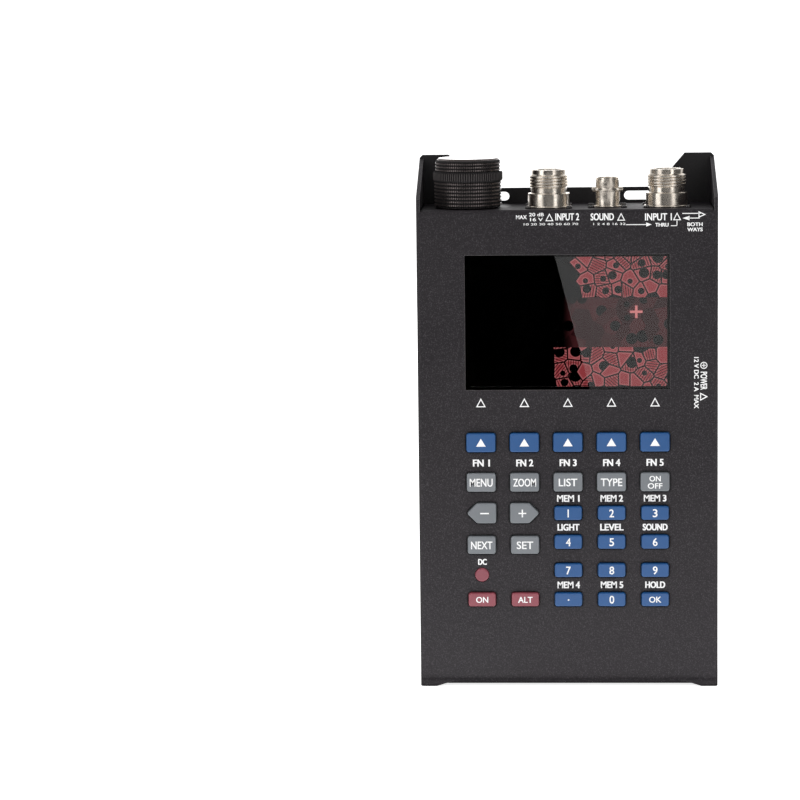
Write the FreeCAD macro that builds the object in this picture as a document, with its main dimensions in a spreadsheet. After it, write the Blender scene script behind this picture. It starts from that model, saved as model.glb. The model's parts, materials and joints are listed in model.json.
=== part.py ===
import FreeCAD, Part
import os
import re
import Sketcher
from FreeCAD import Placement, Rotation, Vector

# Handheld antenna analyzer, standing on its base.
# +Z is up towards the connectors, the keys and screen face -Y, and +X is to the
# right as the user reads the screen. The origin is at the middle of the base.
# Lengths are in millimetres.

SIZES = (
    # folded case
    ("case_wide", 122.0, "outside width"),
    ("case_deep", 40.0, "front face to back plate"),
    ("face_top", 196.3, "height of the connector panel above the base"),
    ("wall", 1.6, "sheet thickness of the front shell"),
    ("cover_wall", 1.5, "sheet thickness of the back cover"),
    ("bend", 1.5, "outside radius of the folds"),
    ("cover_seam", 0.1, "gap between the flanges and the back cover"),
    ("cheek_front", 4.6, "side wall above the connector panel, at the front"),
    ("cheek_rear", 19.1, "side wall above the connector panel, at the back"),
    ("ear_rise", 20.5, "back cover ears above the connector panel"),
    ("ear_wide", 12.1, "flat top of an ear"),
    ("ear_chamfer", 1.2, "outer top corner of an ear"),
    ("guard_rise", 6.5, "low middle of the back cover above the panel"),
    ("guard_in", 24.2, "low middle of the back cover from the side"),
    ("strap_rise", 3.05, "strap slot centre above the connector panel"),
    ("strap_in", 23.8, "inner end of a strap slot from the centre line"),
    ("strap_long", 20.0, "strap slot from end to end"),
    ("strap_high", 3.7, "strap slot width"),
    ("foot_lift", 1.0, "bottom flange above the surface it stands on"),
    ("foot_wide", 9.8, "corner foot of the front face, at its top"),
    ("foot_slant", 3.2, "slant of the corner foot"),
    ("tab_wide", 9.0, "rear return flange of a side wall"),
    ("tab_low", 8.0, "lower end of the return flange"),
    ("tab_high", 190.0, "upper end of the return flange"),
    ("cover_screw_low", 16.0, "lowest back cover screw"),
    ("cover_screw_pitch", 56.0, "pitch of the back cover screws"),
    # screws
    ("screw", 3.0, "back cover screw diameter"),
    ("screw_head", 5.5, "back cover screw head diameter"),
    ("screw_proud", 1.6, "back cover screw head height"),
    ("small_screw", 2.0, "board and connector screw diameter"),
    ("small_head", 3.8, "board screw head diameter"),
    ("small_proud", 1.4, "board screw head height"),
    ("screw_play", 0.05, "radial gap round a screw in its thread"),
    ("port_screw_head", 2.6, "connector screw head diameter"),
    ("port_screw_proud", 1.1, "connector screw head height"),
    # screen
    ("screen_wide", 83.0, "screen opening width"),
    ("screen_high", 55.0, "screen opening height"),
    ("screen_mid", 150.5, "height of the screen centre"),
    ("window_gap", 0.25, "window inside its opening"),
    ("window_sunk", 0.4, "window front below the face"),
    ("window_lap", 2.0, "window flange behind the face"),
    ("window_flange", 1.2, "window flange thickness"),
    ("gasket", 1.0, "gasket thickness"),
    ("gasket_wide", 3.0, "gasket frame width"),
    ("lcd_border", 4.5, "display module beyond the opening, each side"),
    ("lcd_margin", 3.5, "display module beyond the opening, top and bottom"),
    ("lcd_post_gap", 1.0, "display standoff from the module"),
    ("lcd_post_down", 11.0, "display standoff below the module's upper edge"),
    ("lcd_thick", 3.5, "display module thickness"),
    ("lcd_plate", 1.0, "display bracket thickness"),
    ("lcd_rim", 1.0, "display bracket beyond its standoffs"),
    ("lcd_window", 24.0, "cable window in the display bracket"),
    # keys
    ("column", 17.7, "pitch of the key columns"),
    ("key_gap", 0.35, "key inside its opening"),
    ("key_proud", 1.6, "key front above the face"),
    ("key_round", 1.0, "corner radius of a key"),
    ("key_edge", 0.45, "softened front edge of a key"),
    ("key_lap", 0.8, "key flange behind the face"),
    ("key_flange", 0.8, "key flange thickness"),
    ("key_travel", 1.0, "key stroke"),
    ("key_post", 4.0, "diameter of the post under a key"),
    ("post_play", 0.5, "radial gap between post and dome"),
    ("post_stop", 0.1, "post above the board when the key is down"),
    ("dome_wall", 1.2, "wall of a dome of the mat"),
    ("dome_high", 0.8, "height of a dome of the mat"),
    ("dome_stop", 0.1, "dome below the key when it is down"),
    ("mat", 1.0, "keypad mat thickness"),
    ("soft_z", 101.5, "row of soft keys"),
    ("soft_wide", 12.5, "soft key opening"),
    ("soft_high", 8.4, "soft key opening"),
    ("menu_z", 85.1, "row of menu keys"),
    ("menu_wide", 12.45, "menu key opening"),
    ("menu_high", 8.3, "menu key opening"),
    ("step_z", 72.35, "row of minus and plus keys"),
    ("step_wide", 12.7, "step key opening"),
    ("step_high", 9.0, "step key opening"),
    ("step_point", 4.2, "pointed end of a step key"),
    ("mark_z", 59.15, "row of marker keys"),
    ("mark_wide", 12.15, "marker key opening"),
    ("mark_high", 8.0, "marker key opening"),
    ("digit_one_z", 72.3, "digits 1 to 3"),
    ("digit_two_z", 60.35, "digits 4 to 6"),
    ("digit_three_z", 48.6, "digits 7 to 9"),
    ("base_z", 36.45, "bottom row"),
    ("digit_wide", 11.8, "small key opening"),
    ("digit_high", 6.3, "small key opening"),
    ("lamp_z", 46.6, "charge lamp"),
    ("lamp", 6.2, "charge lamp opening diameter"),
    ("lamp_gap", 0.25, "charge lamp inside its opening"),
    ("lamp_proud", 0.5, "charge lamp above the face"),
    ("lamp_lap", 1.0, "charge lamp flange behind the face"),
    ("led", 3.0, "light-emitting diode diameter"),
    ("led_long", 2.6, "light-emitting diode height"),
    # boards
    ("board", 1.6, "circuit board thickness"),
    ("pad_in", 8.9, "keypad board from the side wall"),
    ("pad_low", 28.0, "lower edge of the keypad board"),
    ("pad_high", 110.0, "upper edge of the keypad board"),
    ("pad_post_in", 3.0, "keypad board standoff from the side edge"),
    ("pad_post_edge", 5.0, "keypad board standoff from the upper or lower edge"),
    ("mat_in", 1.0, "keypad mat from its standoffs"),
    ("mat_edge", 1.5, "mat inside the board's edges"),
    ("standoff", 5.0, "standoff diameter"),
    ("main_in", 2.4, "main board from the side wall"),
    ("main_low", 94.0, "lower edge of the main board"),
    ("main_high", 184.0, "upper edge of the main board"),
    ("main_post_in", 2.6, "main board standoff from the side edge"),
    ("main_post_low", 6.0, "lower main board standoff from the edge"),
    ("main_post_top", 2.6, "upper main board standoff from the edge"),
    ("shield_wide", 78.0, "screening can width"),
    ("shield_high", 52.0, "screening can height"),
    ("shield_deep", 6.5, "screening can depth"),
    ("shield_wall", 0.4, "screening can wall"),
    ("shield_z", 148.0, "height of the screening can centre"),
    ("buzzer", 12.0, "buzzer diameter"),
    ("buzzer_deep", 5.5, "buzzer depth"),
    ("buzzer_hole", 2.0, "buzzer sound hole"),
    ("buzzer_rise", 12.0, "buzzer above the main board's lower edge"),
    # battery
    ("cell", 18.6, "battery cell diameter"),
    ("cell_long", 66.0, "battery pack length"),
    ("cell_count", 3.0, "cells side by side"),
    ("battery_low", 14.0, "lower end of the battery pack"),
    ("battery_sleeve", 0.7, "wrap round the cells"),
    ("battery_seat", 0.1, "battery pack from the back cover"),
    ("strap_sheet", 1.0, "battery bracket sheet"),
    ("strap_band", 24.0, "battery bracket height"),
    ("strap_foot", 9.0, "battery bracket foot"),
    ("strap_gap", 0.2, "battery bracket round the pack"),
    # connectors
    ("axis_in", 16.0, "connector axes behind the front face"),
    ("knob_in", 20.7, "tuning knob axis from the left side"),
    ("port_one_in", 20.3, "first test port from the right side"),
    ("audio_step", 24.1, "audio socket from the first test port"),
    ("port_two_step", 23.9, "second test port from the audio socket"),
    ("panel_play", 0.15, "radial gap round a connector in the panel"),
    ("port_flange", 22.0, "test port flange, square"),
    ("port_plate", 2.5, "test port flange thickness"),
    ("port_screw_span", 16.6, "test port screw spacing"),
    ("port_lip", 18.4, "rim of a test port on the panel"),
    ("port_lip_high", 0.6, "rim height"),
    ("port_base", 17.0, "test port base diameter"),
    ("port_base_high", 5.8, "test port base above the panel"),
    ("port_neck", 14.5, "test port neck diameter"),
    ("port_thread", 15.88, "test port thread, major diameter"),
    ("port_root", 14.6, "test port thread, root diameter"),
    ("port_pitch", 1.25, "test port thread pitch"),
    ("port_first", 8.85, "first thread crest above the panel"),
    ("port_crest", 0.3, "width of a thread crest"),
    ("port_nose", 14.0, "plain end of a test port"),
    ("port_high", 15.4, "test port above the panel"),
    ("port_bore", 8.4, "mouth of a test port"),
    ("port_bore_deep", 9.0, "depth of the mouth"),
    ("port_mouth", 0.5, "chamfer of the mouth"),
    ("port_tail", 9.5, "test port barrel under its flange"),
    ("port_tail_long", 4.5, "length of that barrel"),
    ("contact", 3.0, "centre contact diameter"),
    ("contact_bore", 1.6, "centre contact socket"),
    ("contact_low", 3.0, "centre contact below the mouth"),
    ("contact_pin", 1.6, "solder pin of a contact"),
    ("contact_reach", 4.0, "solder pin on the main board"),
    ("audio_flange", 17.5, "audio socket flange, square"),
    ("audio_plate", 2.0, "audio socket flange thickness"),
    ("audio_screw_span", 13.2, "audio socket screw spacing"),
    ("audio_lip", 11.6, "rim of the audio socket on the panel"),
    ("audio_base", 10.2, "audio socket base diameter"),
    ("audio_collar", 10.5, "audio socket collar diameter"),
    ("audio_collar_low", 6.4, "audio socket collar above the panel"),
    ("audio_collar_high", 7.7, "top of the collar"),
    ("audio_collar_slope", 0.9, "height of the collar's slope"),
    ("audio_barrel", 9.6, "audio socket barrel diameter"),
    ("audio_groove", 9.2, "groove over the collar"),
    ("audio_groove_high", 8.3, "top of the groove"),
    ("audio_high", 12.0, "audio socket above the panel"),
    ("audio_bore", 8.1, "audio socket mouth"),
    ("audio_bore_deep", 8.6, "depth of the mouth"),
    ("audio_core", 4.8, "insulator inside the audio socket"),
    ("audio_core_low", 1.2, "insulator below the mouth"),
    ("audio_contact", 2.1, "audio contact diameter"),
    ("audio_contact_bore", 1.4, "audio contact socket"),
    ("lug", 2.0, "bayonet lug diameter"),
    ("lug_reach", 12.6, "across both bayonet lugs"),
    ("lug_high", 7.0, "bayonet lugs above the panel"),
    ("core_play", 0.02, "radial gap of a pressed-in part"),
    # tuning knob
    ("knob", 27.4, "knob body diameter"),
    ("knob_band", 28.4, "grip band diameter"),
    ("knob_top", 20.4, "knob top above the panel"),
    ("knob_gap", 0.5, "knob bottom above the panel"),
    ("knob_band_low", 11.0, "lower edge of the grip band above the panel"),
    ("knob_band_high", 15.1, "upper edge of the grip band"),
    ("knob_band_slope", 0.7, "slope of the grip band's edges"),
    ("knob_rim", 24.0, "flat top of the knob"),
    ("knob_rim_drop", 1.4, "chamfer of the knob's top edge"),
    ("knob_hollow", 17.0, "hollow under the knob"),
    ("knob_hollow_high", 8.0, "top of the hollow above the panel"),
    ("knob_bore_high", 16.6, "top of the shaft bore above the panel"),
    ("shaft", 6.0, "encoder shaft diameter"),
    ("shaft_play", 0.05, "radial running gap of the shaft"),
    ("shaft_high", 16.0, "shaft end above the panel"),
    ("shaft_low", 4.0, "shaft end below the panel's underside"),
    ("bush", 9.0, "encoder bushing diameter"),
    ("bush_high", 6.0, "bushing above the panel"),
    ("nut", 13.0, "encoder nut across corners"),
    ("nut_high", 2.0, "encoder nut thickness"),
    ("encoder_wide", 13.2, "encoder housing, square"),
    ("encoder_deep", 6.5, "encoder housing depth"),
    # power inlet
    ("inlet_z", 120.5, "power inlet height"),
    ("inlet_axis", 6.5, "power inlet axis above the board it is soldered to"),
    ("inlet_wide", 9.0, "power inlet housing width"),
    ("inlet_tall", 11.0, "power inlet housing above its board"),
    ("inlet_long", 13.8, "power inlet housing length"),
    ("inlet_gap", 0.2, "power inlet housing from the side wall"),
    ("inlet_nose", 8.0, "nose that reaches into the side wall"),
    ("inlet_bore", 6.0, "power inlet mouth"),
    ("inlet_deep", 9.5, "depth of the mouth"),
    ("inlet_pin", 2.1, "power inlet pin"),
)

# Places worked out from the sizes above, all in the part's own frame.
PLACES = (
    ("front", "-case_deep / 2", "outer surface of the front face"),
    ("face_back", "front + wall", "inner surface of the front face"),
    ("rear", "case_deep / 2", "outer surface of the back cover"),
    ("cover_face", "rear - cover_wall", "inner surface of the back cover"),
    ("side", "case_wide / 2", "outer surface of a side wall"),
    ("side_in", "side - wall", "inner surface of a side wall"),
    ("guard_half", "side - guard_in", "half width of the low middle of the back cover"),
    ("knob_x", "-(side - knob_in)", "tuning knob"),
    ("port_one_x", "side - port_one_in", "first test port"),
    ("audio_x", "port_one_x - audio_step", "audio socket"),
    ("port_two_x", "audio_x - port_two_step", "second test port"),
    ("panel", "face_top", "outer surface of the connector panel"),
    ("panel_low", "panel - wall", "inner surface of the connector panel"),
    ("axis_y", "front + axis_in", "connector and knob axes"),
    ("flange_back", "face_back + key_flange", "back of the key flanges"),
    ("dome_face", "flange_back + key_travel + dome_stop", "front of the domes"),
    ("mat_face", "dome_face + dome_high", "front of the mat sheet"),
    ("board_face", "mat_face + mat", "front of the keypad board"),
    ("post_long", "board_face - post_stop - key_travel - face_back", "post under a key"),
    ("port_screw_half", "port_screw_span / 2", "test port screws from the port's axis"),
    ("audio_screw_half", "audio_screw_span / 2", "audio socket screws from its axis"),
    ("small_hole", "small_screw + 2 * screw_play", "hole for a board or connector screw"),
    ("flange_deep", "cover_face - cover_seam - front", "depth of the connector panel flange"),
    ("tab_x", "side_in - tab_wide / 2", "middle of a return flange"),
    ("window_back", "face_back + window_flange", "back of the window"),
    ("lcd_face", "window_back + gasket", "front of the display module"),
    ("lcd_back", "lcd_face + lcd_thick", "back of the display module"),
    ("lcd_wide", "screen_wide + 2 * lcd_border", "display module width"),
    ("lcd_high", "screen_high + 2 * lcd_margin", "display module height"),
    ("lcd_post_x", "lcd_wide / 2 + lcd_post_gap + standoff / 2", "display standoffs"),
    ("pad_half", "side_in - pad_in", "half width of the keypad board"),
    ("pad_post_x", "pad_half - pad_post_in", "keypad board standoffs"),
    ("mat_half", "pad_post_x - standoff / 2 - mat_in", "half width of the keypad mat"),
    ("main_half", "side_in - main_in", "half width of the main board"),
    ("main_post_x", "main_half - main_post_in", "main board standoffs"),
    ("main_face", "axis_y + contact_pin / 2", "front of the main board"),
    ("main_back", "main_face + board", "back of the main board"),
    ("port_top", "panel + port_high", "mouth of the test ports"),
    ("audio_top", "panel + audio_high", "mouth of the audio socket"),
    ("pack_wide", "cell * cell_count + 2 * battery_sleeve", "battery pack width"),
    ("pack_deep", "cell + 2 * battery_sleeve", "battery pack depth"),
    ("pack_back", "cover_face - battery_seat", "back of the battery pack"),
    ("pack_front", "pack_back - pack_deep", "front of the battery pack"),
    ("inlet_y", "main_back + inlet_axis", "power inlet axis"),
)

# Column 0 is the middle column of keys; each key is (name, column, row).
KEYS = (
    [(f"soft_key_{i + 1}", i - 2, "soft") for i in range(5)]
    + [(f"menu_key_{i + 1}", i - 2, "menu") for i in range(5)]
    + [("minus_key", -2, "step"), ("plus_key", -1, "step")]
    + [("marker_key", -2, "mark"), ("level_key", -1, "mark")]
    + [(f"digit_key_{i + 1}", i, "digit_one") for i in range(3)]
    + [(f"digit_key_{i + 4}", i, "digit_two") for i in range(3)]
    + [(f"digit_key_{i + 7}", i, "digit_three") for i in range(3)]
    + [("power_key", -2, "base"), ("shift_key", -1, "base")]
    + [("point_key", 0, "base"), ("digit_key_0", 1, "base"), ("enter_key", 2, "base")]
)
SMALL_ROWS = ("digit_one", "digit_two", "digit_three", "base")

X_AXIS = Vector(1, 0, 0)
Y_AXIS = Vector(0, 1, 0)
Z_AXIS = Vector(0, 0, 1)

doc = FreeCAD.newDocument("AntennaAnalyzer")
sheet = doc.addObject("Spreadsheet::Sheet", "Sizes")
ALIASES = {name for name, _, _ in SIZES + PLACES}


def fill_sheet():
    """Write the driving sizes as numbers and the places as formulas."""
    for row, (alias, content, note) in enumerate(SIZES + PLACES, start=1):
        sheet.set(f"A{row}", note)
        sheet.set(f"B{row}", str(content) if isinstance(content, float) else f"={content}")
        sheet.setAlias(f"B{row}", alias)
    doc.recompute()


def bound(text):
    """Point the size names in an expression at the spreadsheet."""
    return re.sub(r"[a-z][a-z_0-9]*", lambda m: f"Sizes.{m[0]}" if m[0] in ALIASES else m[0], text)


def number(text):
    """The present value of an expression."""
    return float(sheet.evalExpression(bound(text)))


# ---------------------------------------------------------------- sketches


def new_body(label):
    body = doc.addObject("PartDesign::Body", label)
    body.Label = label
    return body


def place(item, x="0", y="0", z="0"):
    """Bind the place of a body or primitive to expressions."""
    for axis, text in zip("xyz", (x, y, z)):
        item.setExpression(f"Placement.Base.{axis}", bound(text))
    return item


def new_sketch(body, name, role, height="0"):
    """A sketch on an origin plane, moved along the plane's normal by an expression."""
    item = body.newObject("Sketcher::SketchObject", f"{body.Name}_{name}")
    plane = next(f for f in body.Origin.OriginFeatures if f.Role == role)
    item.AttachmentSupport = [(plane, "")]
    item.MapMode = "FlatFace"
    item.setExpression("AttachmentOffset.Base.z", bound(height))
    return item


def upright(body, name, y="0"):
    """A sketch in the plane of the front face, whose normal is -Y."""
    return new_sketch(body, name, "XZ_Plane", f"-({y})")


def level(body, name, z="0"):
    """A horizontal sketch, whose normal is +Z."""
    return new_sketch(body, name, "XY_Plane", z)


def fix(item, kind, geometry, point, text):
    """Add a dimension and bind it."""
    index = item.addConstraint(Sketcher.Constraint(kind, geometry, point, number(text)))
    item.setExpression(f"Constraints[{index}]", bound(text))


def polygon(item, points):
    """A closed outline through points given as pairs of expressions."""
    corners = [Vector(number(x), number(y), 0) for x, y in points]
    first = item.GeometryCount
    count = len(points)
    for i in range(count):
        item.addGeometry(Part.LineSegment(corners[i], corners[(i + 1) % count]), False)
    for i, (x, y) in enumerate(points):
        item.addConstraint(Sketcher.Constraint("Coincident", first + i, 2, first + (i + 1) % count, 1))
        fix(item, "DistanceX", first + i, 1, x)
        fix(item, "DistanceY", first + i, 1, y)


def rectangle(item, x, y, wide, high):
    """A rectangle about a centre."""
    left, right = f"{x} - ({wide}) / 2", f"{x} + ({wide}) / 2"
    low, top = f"{y} - ({high}) / 2", f"{y} + ({high}) / 2"
    polygon(item, [(left, low), (right, low), (right, top), (left, top)])


def circle(item, x, y, diameter):
    middle = Vector(number(x), number(y), 0)
    index = item.addGeometry(Part.Circle(middle, Z_AXIS, number(diameter) / 2), False)
    fix(item, "DistanceX", index, 3, x)
    fix(item, "DistanceY", index, 3, y)
    ring = item.addConstraint(Sketcher.Constraint("Diameter", index, number(diameter)))
    item.setExpression(f"Constraints[{ring}]", bound(diameter))


# ---------------------------------------------------------------- features


def feature(body, kind, name, profile):
    item = body.newObject(f"PartDesign::{kind}", f"{body.Name}_{name}")
    item.Profile = profile
    return item


def pad(body, name, profile, length, backwards=False):
    """Add material along the sketch's normal, or against it."""
    item = feature(body, "Pad", name, profile)
    item.Reversed = backwards
    item.setExpression("Length", bound(length))
    doc.recompute()
    return item


def pocket(body, name, profile, length, backwards=False):
    """Remove material against the sketch's normal, or along it."""
    before = body.Shape.Volume
    item = feature(body, "Pocket", name, profile)
    item.Reversed = backwards
    item.setExpression("Length", bound(length))
    doc.recompute()
    if item.Shape.Volume >= before:
        raise RuntimeError(f"{item.Name} removes nothing")
    return item


def revolve(body, name, profile):
    """Turn a profile in the XZ plane about the body's own Z axis."""
    item = feature(body, "Revolution", name, profile)
    item.ReferenceAxis = (profile, ["V_Axis"])
    item.Angle = 360
    doc.recompute()
    return item


def edge_names(shape, wanted):
    return [f"Edge{i + 1}" for i, edge in enumerate(shape.Edges) if wanted(edge)]


def round_edges(body, name, base, wanted, radius):
    item = body.newObject("PartDesign::Fillet", f"{body.Name}_{name}")
    item.Base = (base, edge_names(base.Shape, wanted))
    item.setExpression("Radius", bound(radius))
    doc.recompute()
    return item


def straight_along(axis):
    """A test for edges that are straight and run along an axis."""
    def test(edge):
        if not isinstance(edge.Curve, Part.Line):
            return False
        return abs(abs(edge.Curve.Direction.dot(axis)) - 1) < 1e-6
    return test


def near(value, text):
    return abs(value - number(text)) < 1e-4


# -------------------------------------------------------------- primitives


def box(label, low, size):
    """A box from its lowest corner and its size, both as expressions."""
    item = doc.addObject("Part::Box", label)
    for side, text in zip(("Length", "Width", "Height"), size):
        item.setExpression(side, bound(text))
    return place(item, *low)


def rod(label, start, diameter, length, axis=Z_AXIS):
    """A cylinder from the middle of its first end along an axis."""
    item = doc.addObject("Part::Cylinder", label)
    item.Placement = Placement(Vector(), Rotation(Z_AXIS, axis))
    item.setExpression("Radius", bound(f"({diameter}) / 2"))
    item.setExpression("Height", bound(length))
    return place(item, *start)


def prism(label, start, across_corners, length, axis=Z_AXIS):
    """A hexagon from the middle of its first end along an axis."""
    item = doc.addObject("Part::Prism", label)
    item.Polygon = 6
    item.Placement = Placement(Vector(), Rotation(Z_AXIS, axis))
    item.setExpression("Circumradius", bound(f"({across_corners}) / 2"))
    item.setExpression("Height", bound(length))
    return place(item, *start)


def joined(label, pieces):
    item = doc.addObject("Part::MultiFuse", label)
    item.Shapes = pieces
    item.Label = label
    return item


def without(label, base, tools):
    item = doc.addObject("Part::Cut", label)
    item.Base = base
    item.Tool = tools[0] if len(tools) == 1 else joined(f"{label}_voids", tools)
    item.Label = label
    return item


def together(label, pieces):
    """Separate solids of one kind, kept apart in one sub-part."""
    item = doc.addObject("Part::Compound", label)
    item.Links = pieces
    item.Label = label
    return item


# -------------------------------------------------------------------- keys


def key_size(row):
    """Opening width and height of a row, as size names."""
    group = "digit" if row in SMALL_ROWS else row
    return f"{group}_wide", f"{group}_high"


def key_centre(column, row):
    return f"{column} * column", f"{row}_z"


def key_outline(item, name, row, x, z, grow):
    """The outline of a key about (x, z), grown by an expression on every side."""
    wide, high = (f"{size} + 2 * ({grow})" for size in key_size(row))
    if row != "step":
        rectangle(item, x, z, wide, high)
        return
    point = "-1" if name == "minus_key" else "1"
    tip = f"{x} + {point} * ({wide}) / 2"
    shoulder = f"{x} + {point} * (({wide}) / 2 - step_point)"
    flat = f"{x} - {point} * ({wide}) / 2"
    low, top = f"{z} - ({high}) / 2", f"{z} + ({high}) / 2"
    polygon(item, [(flat, low), (shoulder, low), (tip, z), (shoulder, top), (flat, top)])


def make_key(name, column, row):
    """A key cap that shows through the face, its flange and its post."""
    body = new_body(name)
    cap = upright(body, "cap")
    key_outline(cap, name, row, "0", "0", "-key_gap")
    block = pad(body, "block", cap, "wall + key_proud")
    corners = round_edges(body, "corners", block, straight_along(Y_AXIS), "key_round")
    front = "-(wall + key_proud)"
    round_edges(
        body, "front", corners, lambda e: all(near(v.Y, front) for v in e.Vertexes), "key_edge"
    )
    lap = upright(body, "lap")
    key_outline(lap, name, row, "0", "0", "key_lap")
    pad(body, "flange", lap, "key_flange", backwards=True)
    shank = upright(body, "shank")
    circle(shank, "0", "0", "key_post")
    pad(body, "post", shank, "post_long", backwards=True)
    x, z = key_centre(column, row)
    return place(body, x, "face_back", z)


def make_keypad_mat():
    """The rubber sheet with one open dome for each key post."""
    body = new_body("keypad_mat")
    outline = upright(body, "outline", "mat_face")
    middle = "(pad_low + pad_high) / 2"
    rectangle(outline, "0", middle, "2 * mat_half", "pad_high - pad_low - 2 * mat_edge")
    pad(body, "sheet", outline, "mat", backwards=True)
    domes = upright(body, "domes", "mat_face")
    for _, column, row in KEYS:
        circle(domes, *key_centre(column, row), "key_post + 2 * post_play + 2 * dome_wall")
    pad(body, "rings", domes, "dome_high")
    holes = upright(body, "holes", "dome_face")
    for _, column, row in KEYS:
        circle(holes, *key_centre(column, row), "key_post + 2 * post_play")
    circle(holes, "-2 * column", "lamp_z", "lamp + 2 * lamp_lap")
    pocket(body, "wells", holes, "dome_high + mat")
    return body


def keypad_post_places():
    edge = "pad_post_edge"
    heights = (f"pad_low + {edge}", "(pad_low + pad_high) / 2", f"pad_high - {edge}")
    return [(x, z) for x in ("-pad_post_x", "pad_post_x") for z in heights]


def make_keypad_board():
    body = new_body("keypad_board")
    outline = upright(body, "outline", "board_face")
    rectangle(outline, "0", "(pad_low + pad_high) / 2", "2 * pad_half", "pad_high - pad_low")
    pad(body, "plate", outline, "board", backwards=True)
    holes = upright(body, "holes", "board_face")
    for x, z in keypad_post_places():
        circle(holes, x, z, "small_hole")
    pocket(body, "screw_holes", holes, "board")
    return body


def make_charge_lamp():
    """The round lens with its flange behind the face."""
    body = new_body("charge_lamp")
    lens = upright(body, "lens")
    circle(lens, "0", "0", "lamp - 2 * lamp_gap")
    block = pad(body, "block", lens, "wall + lamp_proud")
    front = "-(wall + lamp_proud)"
    round_edges(body, "dome", block, lambda e: all(near(v.Y, front) for v in e.Vertexes), "lamp_proud")
    rim = upright(body, "rim")
    circle(rim, "0", "0", "lamp + 2 * (lamp_lap - lamp_gap)")
    pad(body, "flange", rim, "key_flange", backwards=True)
    return place(body, "-2 * column", "face_back", "lamp_z")


def make_charge_led():
    start = ("-2 * column", "board_face", "lamp_z")
    return rod("charge_led", start, "led", "led_long", axis=-Y_AXIS)


# -------------------------------------------------------------------- case


def connector_screws():
    """Places of the connector screws, as (x, y) pairs."""
    half_spans = (
        ("port_two_x", "port_screw_half"),
        ("audio_x", "audio_screw_half"),
        ("port_one_x", "port_screw_half"),
    )
    return [
        (f"{x} {right} {half}", f"axis_y {back} {half}")
        for x, half in half_spans for right in "-+" for back in "-+"
    ]


def cover_screws():
    """Places of the back cover screws, as (x, z) pairs."""
    heights = [f"cover_screw_low + {i} * cover_screw_pitch" for i in range(4)]
    return [(x, z) for x in ("-tab_x", "tab_x") for z in heights]


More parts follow.
